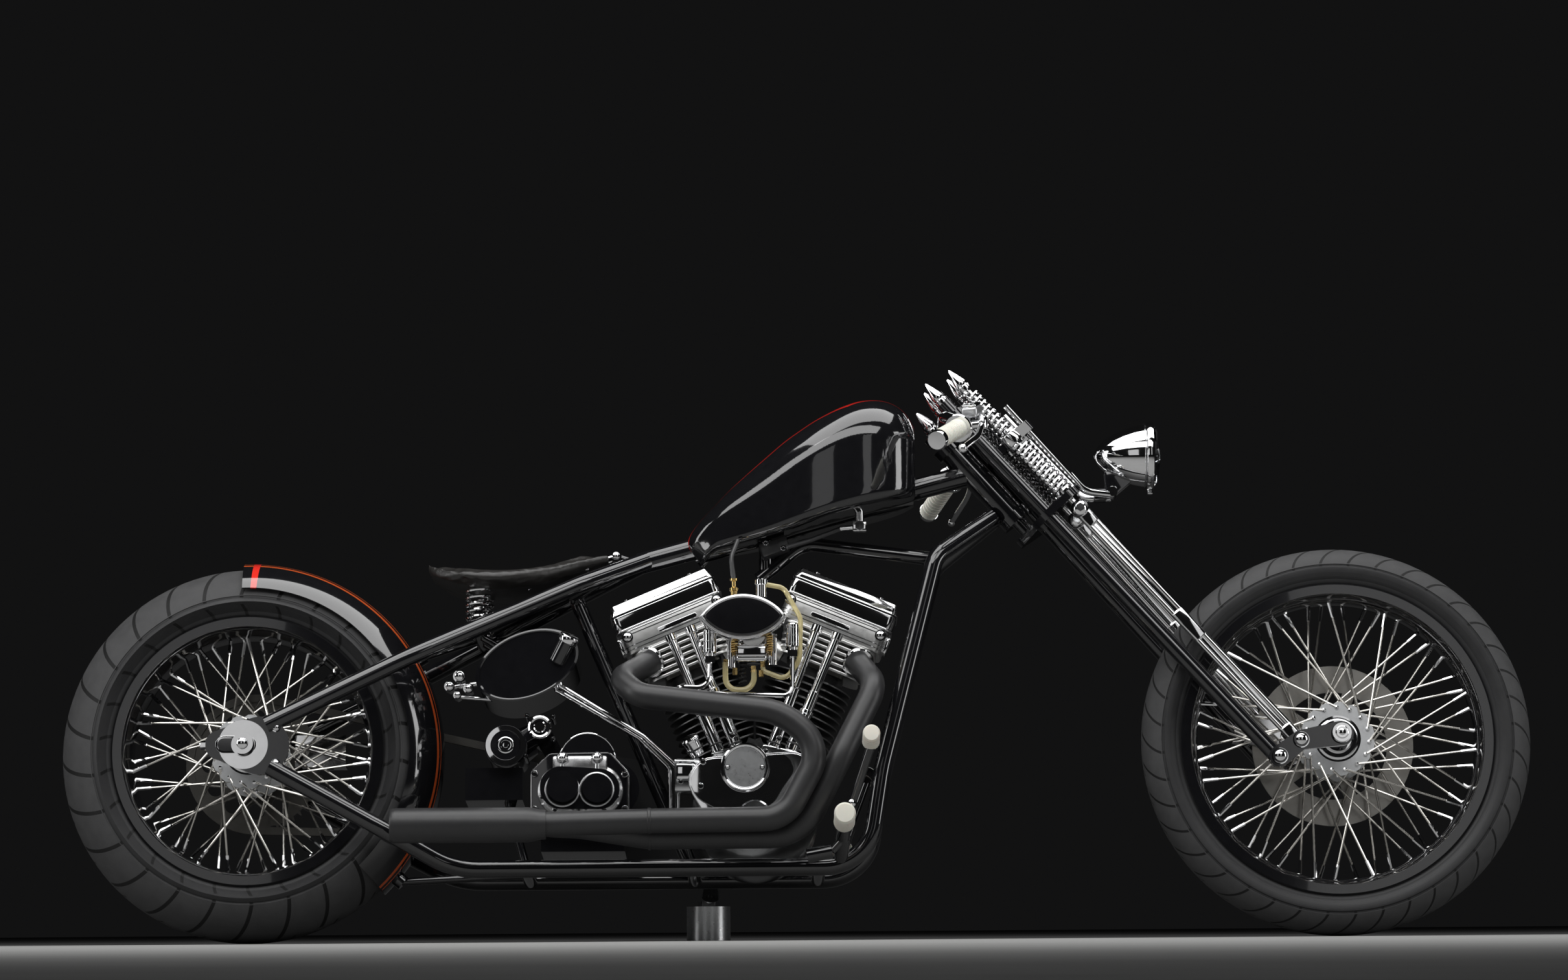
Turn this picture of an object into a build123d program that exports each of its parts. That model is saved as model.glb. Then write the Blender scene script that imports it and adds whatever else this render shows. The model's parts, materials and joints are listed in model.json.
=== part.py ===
from build123d import *
import math
import os

os.makedirs("parts", exist_ok=True)

# Long-fork V-twin chopper with a rigid frame and a springer fork, in millimetres.
# Each piece is drawn with the machine upright: X forward from the rear axle, Y to the rider's
# left, Z up from the road. At the end everything leans onto the side stand together.

# Stance
LEAN = 6.0                  # degrees to the left
WHEELBASE = 1955.0
FIT = 0.05                  # radial running clearance of every shaft
SEAT_GAP = 0.3              # gap between faces that lie together on different bodies

# Tyres and rims
REAR_TYRE_R, REAR_TYRE_W, REAR_CROWN_R, REAR_BEAD_R, REAR_RIM_W = 338.6, 200.0, 104.0, 228.6, 146.0
FRONT_TYRE_R, FRONT_TYRE_W, FRONT_CROWN_R, FRONT_BEAD_R, FRONT_RIM_W = 350.6, 110.0, 57.0, 266.7, 80.0
CROWN_SWEEP = 64.0          # half angle of the tread arc
RIM_LIP, RIM_LIP_T, RIM_WELL = 15.0, 6.0, 26.0
SPOKES_PER_SIDE = 30
SPOKE_R = 2.0
SPOKE_CROSS = 50.0          # angle a spoke gains between hub and rim
SPOKE_CIRCLE_R = 57.0
AXLE_R = 10.0

# Neck and fork
NECK_X, NECK_Z = 1324.0, 829.0
AXLE_LEAD = 149.0           # front axle ahead of the steering axis, sets the rake
NECK_R, NECK_HALF, STEM_R = 25.0, 96.0, 13.0
LEG_AHEAD, ROD_AHEAD = 42.0, 90.0     # rear legs and spring rods ahead of the neck axis
REAR_LEG_R, ROD_R = 15.0, 6.0
BEAM_W, BEAM_T, BEAM_GROOVE = 26.0, 16.0, 4.0     # front legs, grooved on both sides
LEG_TOP_Y, LEG_LOW_Y = 44.0, 88.0
TREE_T = 14.0
UPPER_TREE_H, LOWER_TREE_H = 118.0, -129.0
ROCKER_REAR = (-109.0, 44.0)          # rear pivot from the axle, along and up the fork frame
ROCKER_FRONT = (-61.0, 40.0)
ROCKER_Y, ROCKER_T = 104.0, 11.0

# Engine
CRANK_X, CRANK_Z = 908.0, 222.0
V_HALF = 22.5
CASE_R, CASE_HALF = 112.0, 72.0
V_GAP = 2.0                 # half the slit between the two sets of fins
BARREL_R, FIN_R, FIN_T, FIN_PITCH, FINS = 46.0, 78.0, 3.6, 13.0, 11
FIN_HALF_Y = 70.0           # fins are cut flat beside the pushrods
CYL_FOOT, HEAD_FOOT, BAND_FOOT, HEAD_TOP, ROCKER_TOP = 122.0, 284.0, 352.0, 394.0, 446.0

# Drive
CHAIN_Y, CHAIN_PITCH = 115.0, 15.875
REAR_TEETH, FRONT_TEETH = 48, 24
OUTPUT_X, OUTPUT_Z = 612.0, 262.0
ROLLER_R, PLATE_GAP, PLATE_T, PLATE_H = 4.8, 9.8, 2.6, 14.0
SPROCKET_T = 7.0

# Frame tubes
RAIL_R, SPINE_R, SLIM_R = 15.9, 20.0, 12.7
RAIL_Y, RAIL_Z, RAIL_BEND = 100.0, 120.0, 90.0
POST_FOOT_X, FRONT_MOUNT_X, GEARBOX_MOUNT_X = 798.0, 1020.0, 500.0
PLATE_Y, PLATE_THICK = 150.0, 12.0

# Exhaust
PIPE_R, MUFFLER_R = 22.2, 31.0

lean_rad = math.radians(LEAN)
REAR_AXLE_Z = REAR_TYRE_R - REAR_CROWN_R + REAR_CROWN_R / math.cos(lean_rad)
FRONT_AXLE_Z = FRONT_TYRE_R - FRONT_CROWN_R + FRONT_CROWN_R / math.cos(lean_rad)
REAR_AXLE = Vector(0, 0, REAR_AXLE_Z)
FRONT_AXLE = Vector(WHEELBASE, 0, FRONT_AXLE_Z)

reach, drop = WHEELBASE - NECK_X, NECK_Z - FRONT_AXLE_Z
rake_rad = math.acos(AXLE_LEAD / math.hypot(reach, drop)) - math.atan2(drop, reach)
FORK = Plane(origin=(NECK_X, 0, NECK_Z), x_dir=(math.cos(rake_rad), 0, math.sin(rake_rad)),
             z_dir=(-math.sin(rake_rad), 0, math.cos(rake_rad)))
axle_local = FORK.to_local_coords(FRONT_AXLE)
AXLE_N, AXLE_H = axle_local.X, axle_local.Z

UP = (Align.CENTER, Align.CENTER, Align.MIN)
SIDES = (-1, 1)
nodes = {}


def rod(start, end, radius, tip=None):
    """Round bar between two points, tapering to tip if given."""
    a, b = Vector(*start), Vector(*end)
    at = Plane(origin=a, z_dir=b - a)
    length = (b - a).length
    if tip is None:
        return at * Cylinder(radius, length, align=UP)
    return at * Cone(radius, tip, length, align=UP)


def bent(points, radius, bend):
    """Round tube through points with tangent bends."""
    path = FilletPolyline(*points, radius=bend) if len(points) > 2 else Line(*points)
    return sweep(Plane(path @ 0, z_dir=path % 0) * Circle(radius), path)


def across(x, z, radius, y0, y1):
    """Round boss along Y."""
    return rod((x, min(y0, y1), z), (x, max(y0, y1), z), radius)


def side_plate(sketch, y0, y1):
    """Side-view outline (X, Z) made solid between two Y stations."""
    face = Plane(origin=(0, max(y0, y1), 0), x_dir=(1, 0, 0), z_dir=(0, -1, 0)) * sketch
    return extrude(face, abs(y1 - y0), dir=(0, -1, 0))


def capsule(x0, z0, r0, x1, z1, r1):
    """Two rounds in side view joined by their outer tangents."""
    return make_hull((Pos(x0, z0) * Circle(r0) + Pos(x1, z1) * Circle(r1)).edges())


def turned(profile, axle):
    """Section drawn as (y, radius) turned about an axle."""
    return Pos(axle) * revolve(Plane.YZ * profile, Axis.Y)


def joined(first, *others):
    """One solid from pieces that overlap."""
    return first + list(others)


def on_fork(n, y, h):
    """Point in the fork frame: ahead of the neck axis, left, up the axis."""
    return FORK.from_local_coords(Vector(n, y, h))


# Wheels

def tyre(radius, width, crown, bead, rim_w):
    """Round-crowned road tyre seated on its rim."""
    a = math.radians(CROWN_SWEEP)
    edge_y, edge_r = crown * math.sin(a), radius - crown + crown * math.cos(a)
    foot_y, foot_r = rim_w / 2, bead + RIM_LIP + 1
    mid_r = (edge_r + foot_r) / 2 + 4
    outline = Curve() + [
        ThreePointArc((-edge_y, edge_r), (0, radius), (edge_y, edge_r)),
        ThreePointArc((edge_y, edge_r), (width / 2, mid_r), (foot_y, foot_r)),
        Polyline((foot_y, foot_r), (foot_y, bead), (-foot_y, bead), (-foot_y, foot_r)),
        ThreePointArc((-foot_y, foot_r), (-width / 2, mid_r), (-edge_y, edge_r)),
    ]
    return make_face(outline)


def rim(bead, rim_w):
    """Rim with two lips and a well for the spokes."""
    half = rim_w / 2
    side = [(half, bead + RIM_LIP), (half + RIM_LIP_T, bead + RIM_LIP), (half + RIM_LIP_T, bead - 6),
            (half - 14, bead - 14), (half * 0.42, bead - RIM_WELL)]
    points = [(half, bead)] + side + [(-y, r) for y, r in reversed(side)] + [(-half, bead)]
    return make_face(Polyline(*points, close=True))


def spoke(axle, flange_y, rim_y, rim_r, start_deg, turn_deg, lift):
    """One spoke from the hub flange to the rim well."""
    a, b = math.radians(start_deg), math.radians(start_deg + turn_deg)
    start = Vector(SPOKE_CIRCLE_R * math.sin(a), flange_y, SPOKE_CIRCLE_R * math.cos(a)) + axle
    end = Vector(rim_r * math.sin(b), rim_y + lift, rim_r * math.cos(b)) + axle
    at = Plane(origin=start, z_dir=end - start)
    return extrude(at * RegularPolygon(SPOKE_R, 6), (end - start).length)


def laced_hub(axle, bead, flange_y, rim_y, hub_ends):
    """Turned hub with two drilled flanges and its spokes."""
    flange_r, barrel_r, flange_t = SPOKE_CIRCLE_R + 7, 30.0, 7.0
    left, right = hub_ends
    hub = joined(across(axle.X, axle.Z, barrel_r, left, right),
                 *[across(axle.X, axle.Z, flange_r, s * flange_y - flange_t / 2, s * flange_y + flange_t / 2)
                   for s in SIDES])
    spokes = []
    step = 360 / SPOKES_PER_SIDE
    for side in SIDES:
        for i in range(SPOKES_PER_SIDE):
            way = 1 if i % 2 else -1
            start = i * step + (step / 2 if side > 0 else 0)
            spokes.append(spoke(axle, side * flange_y, side * rim_y, bead - RIM_WELL + 6,
                                start, way * SPOKE_CROSS, way * 4.5))
    hub = hub + spokes
    return hub - across(axle.X, axle.Z, AXLE_R + FIT, left - 1, right + 1)


def sprocket_outline(teeth):
    """Toothed disc seen along its axle."""
    pitch_r = CHAIN_PITCH / 2 / math.sin(math.pi / teeth)
    points = []
    for i in range(teeth):
        for share, r in ((-0.30, pitch_r - ROLLER_R - 0.6), (0.30, pitch_r - ROLLER_R - 0.6),
                         (0.44, pitch_r + 2.5), (0.56, pitch_r + 2.5)):
            a = 2 * math.pi * (i + share) / teeth
            points.append((r * math.sin(a), r * math.cos(a)))
    return make_face(Polyline(*points, close=True))


nodes["rear_tyre"] = turned(tyre(REAR_TYRE_R, REAR_TYRE_W, REAR_CROWN_R, REAR_BEAD_R, REAR_RIM_W), REAR_AXLE)
nodes["rear_rim"] = turned(rim(REAR_BEAD_R, REAR_RIM_W), REAR_AXLE)
nodes["front_tyre"] = turned(tyre(FRONT_TYRE_R, FRONT_TYRE_W, FRONT_CROWN_R, FRONT_BEAD_R, FRONT_RIM_W),
                             FRONT_AXLE)
nodes["front_rim"] = turned(rim(FRONT_BEAD_R, FRONT_RIM_W), FRONT_AXLE)

REAR_FLANGE_Y, FRONT_FLANGE_Y = 60.0, 38.0
REAR_HUB_END, FRONT_HUB_END = 76.0, 55.0
disc_y = CHAIN_Y - SPROCKET_T / 2
nodes["rear_hub"] = laced_hub(REAR_AXLE, REAR_BEAD_R, REAR_FLANGE_Y, 16.0, (-REAR_HUB_END, disc_y))
nodes["front_hub"] = laced_hub(FRONT_AXLE, FRONT_BEAD_R, FRONT_FLANGE_Y, 10.0,
                               (-FRONT_HUB_END, FRONT_HUB_END))

sprocket = side_plate(Pos(0, REAR_AXLE_Z) * sprocket_outline(REAR_TEETH), disc_y, disc_y + SPROCKET_T)
lightening = PolarLocations(86, 12)
for spot in lightening:
    place = spot.position
    sprocket -= across(place.X, REAR_AXLE_Z + place.Y, 15, disc_y - 1, disc_y + SPROCKET_T + 1)
nodes["rear_sprocket"] = sprocket - across(0, REAR_AXLE_Z, AXLE_R + FIT, disc_y - 1, disc_y + SPROCKET_T + 1)

ROTOR_R, ROTOR_T, ROTOR_Y = 146.0, 5.0, FRONT_HUB_END
rotor = across(WHEELBASE, FRONT_AXLE_Z, ROTOR_R, ROTOR_Y, ROTOR_Y + ROTOR_T)
rotor -= across(WHEELBASE, FRONT_AXLE_Z, 98, ROTOR_Y - 1, ROTOR_Y + ROTOR_T + 1)
arms = [Pos(WHEELBASE, ROTOR_Y + ROTOR_T / 2, FRONT_AXLE_Z) * Rot(0, 72 * i, 0) * Pos(62, 0, 0)
        * Box(80, ROTOR_T, 22)
        for i in range(5)]
rotor = joined(rotor, across(WHEELBASE, FRONT_AXLE_Z, 32, ROTOR_Y, ROTOR_Y + ROTOR_T), *arms)
nodes["front_rotor"] = rotor - across(WHEELBASE, FRONT_AXLE_Z, AXLE_R + FIT,
                                      ROTOR_Y - 1, ROTOR_Y + ROTOR_T + 1)

# Rear axle, carried by the axle plates

AXLE_END = PLATE_Y + PLATE_THICK / 2
axle = joined(across(0, REAR_AXLE_Z, AXLE_R, -AXLE_END - 22, AXLE_END + 22),
              *[across(0, REAR_AXLE_Z, 19, s * (AXLE_END + 4), s * (AXLE_END + 18)) for s in SIDES],
              across(0, REAR_AXLE_Z, 17, -AXLE_END + PLATE_THICK, -REAR_HUB_END - SEAT_GAP),
              across(0, REAR_AXLE_Z, 17, disc_y + SPROCKET_T + SEAT_GAP, AXLE_END - PLATE_THICK))
nodes["rear_axle"] = axle

# Frame

neck = FORK * Cylinder(NECK_R, 2 * NECK_HALF)
neck += [FORK * Pos(0, 0, s * (NECK_HALF - 9)) * Cylinder(NECK_R + 5, 18) for s in SIDES]
SPINE_FRONT, SPINE_REAR = on_fork(-2, 0, 25), Vector(700, 0, 685)
MOUNT_TUBE = [(1236, 0, 690), (998, 0, 721), (917, 0, 655)]
spine = joined(rod(SPINE_FRONT, SPINE_REAR, SPINE_R), bent(MOUNT_TUBE, SLIM_R, 60),
               rod((930, 0, 672), (930, 0, 745), SLIM_R),
               across(1238, 690, SLIM_R, -62, 62))
spine = joined(neck, spine) - FORK * Cylinder(STEM_R + FIT, 2 * NECK_HALF + 2)
nodes["frame_spine"] = spine

cradles, stays = [], []
for side in SIDES:
    cradle_path = [  # x, y, z from the neck down, along the rail and back to the axle plate
        on_fork(-29, side * 16, -62), (1236, side * 66, 684), (1136, side * 98, 296),
        (1108, side * RAIL_Y, RAIL_Z),
        (372, side * RAIL_Y, RAIL_Z), (244, side * 142, 190), (46, side * PLATE_Y, REAR_AXLE_Z - 39)]
    cradles.append(bent(cradle_path, RAIL_R, [46, 300, RAIL_BEND, 150, 110]))
    stay_path = [(716, side * 12, 690), (600, side * 62, 640), (300, side * 146, 499),
                 (40, side * PLATE_Y, REAR_AXLE_Z + 35)]
    stay = bent(stay_path, RAIL_R, [200, 300])
    plate_y = side * PLATE_Y
    plate = side_plate(capsule(-42, REAR_AXLE_Z, 26, 30, REAR_AXLE_Z - 2, 52),
                       plate_y - PLATE_THICK / 2, plate_y + PLATE_THICK / 2)
    slot = capsule(-34, REAR_AXLE_Z, AXLE_R + 0.5, 8, REAR_AXLE_Z, AXLE_R + 0.5)
    stays.append(joined(stay, plate) - side_plate(slot, plate_y - 2 * RAIL_R, plate_y + 2 * RAIL_R))
nodes["frame_cradle"] = Compound(children=cradles)
nodes["frame_stays"] = Compound(children=stays)

POST_TOP_X, POST_TOP_Z, POST_R, CROSS_END = 586.0, 622.0, 14.0, RAIL_Y - 4
seat_post = joined(rod((POST_TOP_X, 0, POST_TOP_Z), (POST_FOOT_X, 0, RAIL_Z), POST_R),
                   across(POST_TOP_X, POST_TOP_Z, SLIM_R, -60, 60),
                   across(POST_FOOT_X, RAIL_Z - 1, SLIM_R, -CROSS_END, CROSS_END))
nodes["frame_seat_post"] = seat_post
nodes["frame_cross_tubes"] = Compound(children=[across(x, RAIL_Z - 1, SLIM_R, -CROSS_END, CROSS_END)
                                                for x in (GEARBOX_MOUNT_X, FRONT_MOUNT_X)])

# Rear fender and its struts

FENDER_GAP, FENDER_T, FENDER_SPREAD = 8.0, 3.0, 60.0
FENDER_FRONT, FENDER_TAIL = -46.0, 92.0       # degrees above the axle line, front end and tail end


def fender_face():
    """Crowned strip that follows the tread."""
    centre = REAR_TYRE_R - REAR_CROWN_R
    outer, inner = REAR_CROWN_R + FENDER_GAP + FENDER_T, REAR_CROWN_R + FENDER_GAP
    a = math.radians(FENDER_SPREAD)
    spots = {}
    for r in (outer, inner):
        y, z = r * math.sin(a), centre + r * math.cos(a)
        spots[r] = (-y, z), (0, centre + r), (y, z)
    return make_face(Curve() + [ThreePointArc(*spots[outer]), Line(spots[outer][2], spots[inner][2]),
                                ThreePointArc(*spots[inner]), Line(spots[inner][0], spots[outer][0])])


fender = revolve(Plane.YZ * fender_face(), Axis.Y, FENDER_TAIL - FENDER_FRONT)
nodes["rear_fender"] = Pos(REAR_AXLE) * Rot(0, 90 - FENDER_TAIL, 0) * fender

FENDER_OUT = REAR_TYRE_R + FENDER_GAP + FENDER_T
BRIDGE_X, BRIDGE_Z, BRIDGE_R, BRIDGE_HALF = 412.0, 551.0, 10.0, 112.0
STAY_ANGLE, BOSS_R = 30.0, 14.0


def fender_stay(angle, end, radius):
    """Boss on the fender's crown with a stay to the frame."""
    a = math.radians(angle)
    near, far = [(r * math.cos(a), 0, REAR_AXLE_Z + r * math.sin(a))
                 for r in (FENDER_OUT - 1.5, FENDER_OUT + 11)]
    return joined(rod(near, far, BOSS_R), rod([n * 0.3 + f * 0.7 for n, f in zip(near, far)], end, radius))


lower_stay = fender_stay(FENDER_FRONT + 6, (GEARBOX_MOUNT_X, 0, RAIL_Z), 7)
upper_stay = joined(fender_stay(STAY_ANGLE, (BRIDGE_X, 0, BRIDGE_Z), 8),
                    across(BRIDGE_X, BRIDGE_Z, BRIDGE_R, -BRIDGE_HALF, BRIDGE_HALF))
nodes["fender_struts"] = Compound(children=[lower_stay, upper_stay])

# Engine

SPIN = {}
for word, way in (("front", 1), ("rear", -1)):
    a = math.radians(V_HALF * way)
    SPIN[word] = Plane(origin=(CRANK_X, 0, CRANK_Z), x_dir=(math.cos(a), 0, -math.sin(a)),
                       z_dir=(math.sin(a), 0, math.cos(a)))

case = joined(across(CRANK_X, CRANK_Z, CASE_R, -CASE_HALF, CASE_HALF),
              side_plate(capsule(CRANK_X - 30, CRANK_Z - 50, 40, CRANK_X + 62, CRANK_Z - 50, 40), -58, 58),
              *[SPIN[w] * Pos(0, 0, CYL_FOOT - 30) * Box(124, 128, 60) for w in SPIN])
chest = capsule(CRANK_X - 72, CRANK_Z + 48, 44, CRANK_X + 66, CRANK_Z + 60, 40)
CHEST_Y = -128.0
case = joined(case, side_plate(chest, CHEST_Y, -CASE_HALF + 20),
              across(CRANK_X - 8, CRANK_Z + 12, 82, CHEST_Y, -CASE_HALF + 20),
              *[rod((CRANK_X, 0, CRANK_Z - 64), (x, 0, RAIL_Z), 11) for x in (POST_FOOT_X, FRONT_MOUNT_X)])
nodes["crankcase"] = case
CAM_X, CAM_Z, CAM_R = 894.0, 294.0, 44.0
nodes["cam_cover"] = joined(across(CAM_X, CAM_Z, CAM_R, CHEST_Y, CHEST_Y - 14),
                            across(CAM_X, CAM_Z, CAM_R - 9, CHEST_Y - 14, CHEST_Y - 19))

HEAD_FINS, HEAD_PITCH = 6, 11.0
COVER_L, COVER_W, COVER_STEP = 206.0, 128.0, 14.0
barrels, heads, covers = [], [], []
for word, at in SPIN.items():
    barrel = at * Pos(0, 0, CYL_FOOT) * Cylinder(BARREL_R, HEAD_FOOT - CYL_FOOT, align=UP)
    fins = [at * Pos(0, 0, CYL_FOOT + 10 + FIN_PITCH * i) * Cylinder(FIN_R, FIN_T, align=UP)
            for i in range(FINS)]
    out = 1 if word == "front" else -1            # away from the other cylinder
    keep = Pos(CRANK_X + out * (V_GAP + 150), 0, CRANK_Z + 250) * Box(300, 2 * FIN_HALF_Y, 500)
    barrels.append(joined(barrel, *fins) & keep)
    head = at * Pos(0, 0, HEAD_FOOT) * Box(112, 100, HEAD_TOP - HEAD_FOOT, align=UP)
    plates = [at * Pos(out * 5, 0, HEAD_FOOT + 5 + HEAD_PITCH * i)
              * extrude(RectangleRounded(152 + 5 * i, 132, 26), 4.5)
              for i in range(HEAD_FINS)]
    band = at * Pos(out * 2, 0, BAND_FOOT) * extrude(RectangleRounded(196, 128, 24), HEAD_TOP - BAND_FOOT)
    heads.append(joined(head, band, *plates))
    cover = at * Pos(out * 2, 0, HEAD_TOP) * extrude(RectangleRounded(COVER_L, COVER_W, 26), COVER_STEP)
    cap = at * Pos(out * 2, 0, HEAD_TOP + COVER_STEP) * extrude(RectangleRounded(COVER_L - 6, COVER_W - 6, 24),
                                                                ROCKER_TOP - HEAD_TOP - COVER_STEP, taper=10)
    covers.append(joined(cover, cap))
nodes["cylinders"] = Compound(children=barrels)
nodes["cylinder_heads"] = Compound(children=heads)
nodes["rocker_covers"] = Compound(children=covers)

pushrods = []
for word, out in (("front", 1), ("rear", -1)):
    for top_n, foot_n in ((-22, 26), (17, 60)):       # fore-aft place at the head and on the cam chest
        top = SPIN[word].from_local_coords(Vector(out * top_n, -84, BAND_FOOT))
        foot = Vector(CRANK_X + out * foot_n, -100, CRANK_Z + 96)
        lower = foot + (top - foot) * 0.34
        pushrods.append(joined(rod(foot, top, 8.5), rod(foot, lower, 12)))
nodes["pushrod_tubes"] = Compound(children=pushrods)

CARB_X, CARB_Z = 906.0, 516.0
carb = joined(rod((CARB_X, -30, CARB_Z), (CARB_X, -150, CARB_Z + 18), 24),
              Pos(CARB_X, -112, CARB_Z - 24) * Box(58, 56, 62),
              rod((CARB_X - 40, -20, CARB_Z + 14), (CARB_X + 40, -20, CARB_Z + 14), 20),
              across(CARB_X, CARB_Z + 14, 20, -44, 0))
nodes["carburettor"] = carb
AIR_X, AIR_Z, AIR_L, AIR_H, AIR_Y = 890.0, 559.0, 156.0, 82.0, -196.0


def pointed_oval(length, height):
    """Oval whose ends come to a point."""
    return make_face(Curve() + [ThreePointArc((-length / 2, 0), (0, height / 2), (length / 2, 0)),
                                ThreePointArc((length / 2, 0), (0, -height / 2), (-length / 2, 0))])


air = joined(side_plate(Pos(AIR_X, AIR_Z) * pointed_oval(AIR_L, AIR_H), AIR_Y + 8, AIR_Y + 46),
             side_plate(Pos(AIR_X, AIR_Z) * pointed_oval(AIR_L - 26, AIR_H - 22), AIR_Y, AIR_Y + 9))
nodes["air_cleaner"] = air

# Fuel tank, drawn as sections from the rear tip to the front

TANK_SECTIONS = [  # x, bottom z, top z, half width, top corner radius, bottom corner radius
    (778, 692, 738, 26, 20, 12), (872, 708, 822, 72, 52, 18), (1000, 742, 920, 112, 76, 20),
    (1096, 768, 976, 126, 84, 22), (1166, 784, 972, 106, 74, 22), (1201, 796, 950, 66, 48, 20)]


def tank_section(x, low, top, half, top_r, low_r):
    """Flat-sided section with a round top and crisp lower edges."""
    face = Rectangle(2 * half, top - low)
    corners = face.vertices().sort_by(Axis.Y)
    face = fillet(corners[2:], top_r)
    face = fillet(face.vertices().sort_by(Axis.Y)[:2], low_r)
    return Plane(origin=(x, 0, (low + top) / 2), x_dir=(0, 1, 0), z_dir=(1, 0, 0)) * face


tank = loft([tank_section(*row) for row in TANK_SECTIONS])
spine_dir = (SPINE_FRONT - SPINE_REAR).normalized()
TUNNEL_GAP = SEAT_GAP
tunnel_at = Plane(origin=SPINE_REAR, x_dir=(0, 1, 0), z_dir=spine_dir)
tunnel = tunnel_at * Cylinder(SPINE_R + TUNNEL_GAP, 900, align=UP)
tunnel += tunnel_at * Pos(0, -60, 0) * Box(2 * (SPINE_R + TUNNEL_GAP), 120, 900, align=UP)
nodes["fuel_tank"] = tank - tunnel
nodes["tank_cap"] = rod((1092, 44, 962), (1090, 44, 978), 24)

# Seat and its springs

SEAT_SECTIONS = [  # x, middle z, half width, thickness
    (322, 677, 54, 16), (390, 650, 114, 20), (470, 645, 116, 20), (560, 668, 68, 20), (646, 698, 26, 16)]
seat = loft([Plane(origin=(x, 0, z), x_dir=(0, 1, 0), z_dir=(1, 0, 0))
             * RectangleRounded(2 * half, thick, thick * 0.42)
             for x, z, half, thick in SEAT_SECTIONS])
nodes["seat"] = seat


def coil(at, radius, wire, pitch, turns):
    """Spring drawn as its row of ridges around a hollow core."""
    points = []
    for i in range(turns):
        points += [(radius - wire, pitch * i), (radius, pitch * (i + 0.5))]
    points += [(radius - wire, pitch * turns), (radius - wire - 1.6, pitch * turns), (radius - wire - 1.6, 0)]
    return at * revolve(Plane.XZ * make_face(Polyline(*points, close=True)), Axis.Z)


SEAT_SPRING_X, SEAT_SPRING_Y, SEAT_SPRING_FOOT = BRIDGE_X, 60.0, BRIDGE_Z + BRIDGE_R
springs = []
for side in SIDES:
    springs.append(coil(Plane(origin=(SEAT_SPRING_X, side * SEAT_SPRING_Y, SEAT_SPRING_FOOT)), 22, 6, 11.4, 7))
nodes["seat_springs"] = Compound(children=springs)

# Oil tank, starter and electrics

OIL_X, OIL_Z, OIL_L, OIL_H, OIL_HALF = 502.0, 485.0, 95.0, 58.0, 112.0
oil = side_plate(Pos(OIL_X, OIL_Z) * Rot(0, 0, 22) * Ellipse(OIL_L, OIL_H), -OIL_HALF, OIL_HALF)
nodes["oil_tank"] = joined(oil, *[rod((OIL_X - 26, s * 40, OIL_Z + 25), (BRIDGE_X, s * 40, BRIDGE_Z), 7)
                                  for s in SIDES])
nodes["oil_filler_cap"] = rod((556, -60, 534), (570, -60, 558), 19)
nodes["starter"] = joined(across(465, 338, 37, -132, 40), across(525, 373, 20, -110, 40),
                          side_plate(capsule(465, 338, 30, 525, 373, 18), -60, 20),
                          side_plate(capsule(525, 373, 17, 566, 300, 15), -50, 10))
nodes["electrics_box"] = joined(Pos(443, -30, 272) * Box(102, 150, 58),
                                *[rod((466, y, 246), (GEARBOX_MOUNT_X, y, RAIL_Z), 7) for y in (-62, 30)])

# Gearbox

box_outline = capsule(OUTPUT_X - 42, OUTPUT_Z, 52, OUTPUT_X + 40, OUTPUT_Z, 50)
gearbox = joined(side_plate(box_outline, -104, CHAIN_Y - 16), Pos(600, 0, 190) * Box(150, 130, 70),
                 across(OUTPUT_X, OUTPUT_Z, 20, CHAIN_Y - 20, CHAIN_Y + 25.9))
out_pitch_r = CHAIN_PITCH / 2 / math.sin(math.pi / FRONT_TEETH)
gearbox = joined(gearbox, side_plate(capsule(564, 261, 38, 632, 258, 36), -103, -136),
                 across(567, 261, 28, -135, -150), across(628, 258, 26, -135, -150),
                 across(OUTPUT_X, OUTPUT_Z, out_pitch_r - ROLLER_R - 0.6, disc_y, disc_y + SPROCKET_T))
nodes["gearbox"] = gearbox
PRIMARY_Y0, PRIMARY_Y1 = CHAIN_Y + 26, CHAIN_Y + 84
primary = side_plate(capsule(OUTPUT_X, OUTPUT_Z, 98, CRANK_X, CRANK_Z, 84), PRIMARY_Y0, PRIMARY_Y1)
primary = joined(primary, across(OUTPUT_X, OUTPUT_Z, 62, PRIMARY_Y1, PRIMARY_Y1 + 8),
                 across(CRANK_X, CRANK_Z, 46, CASE_HALF, PRIMARY_Y0 + 1))
nodes["primary_cover"] = primary

# Drive chain: two side bands with rollers at every pitch, round both sprockets

rear_pitch_r = CHAIN_PITCH / 2 / math.sin(math.pi / REAR_TEETH)


def chain_loop(grow):
    """Loop round both sprockets, off the pitch line by grow."""
    return capsule(0, REAR_AXLE_Z, rear_pitch_r + grow, OUTPUT_X, OUTPUT_Z, out_pitch_r + grow)


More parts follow.
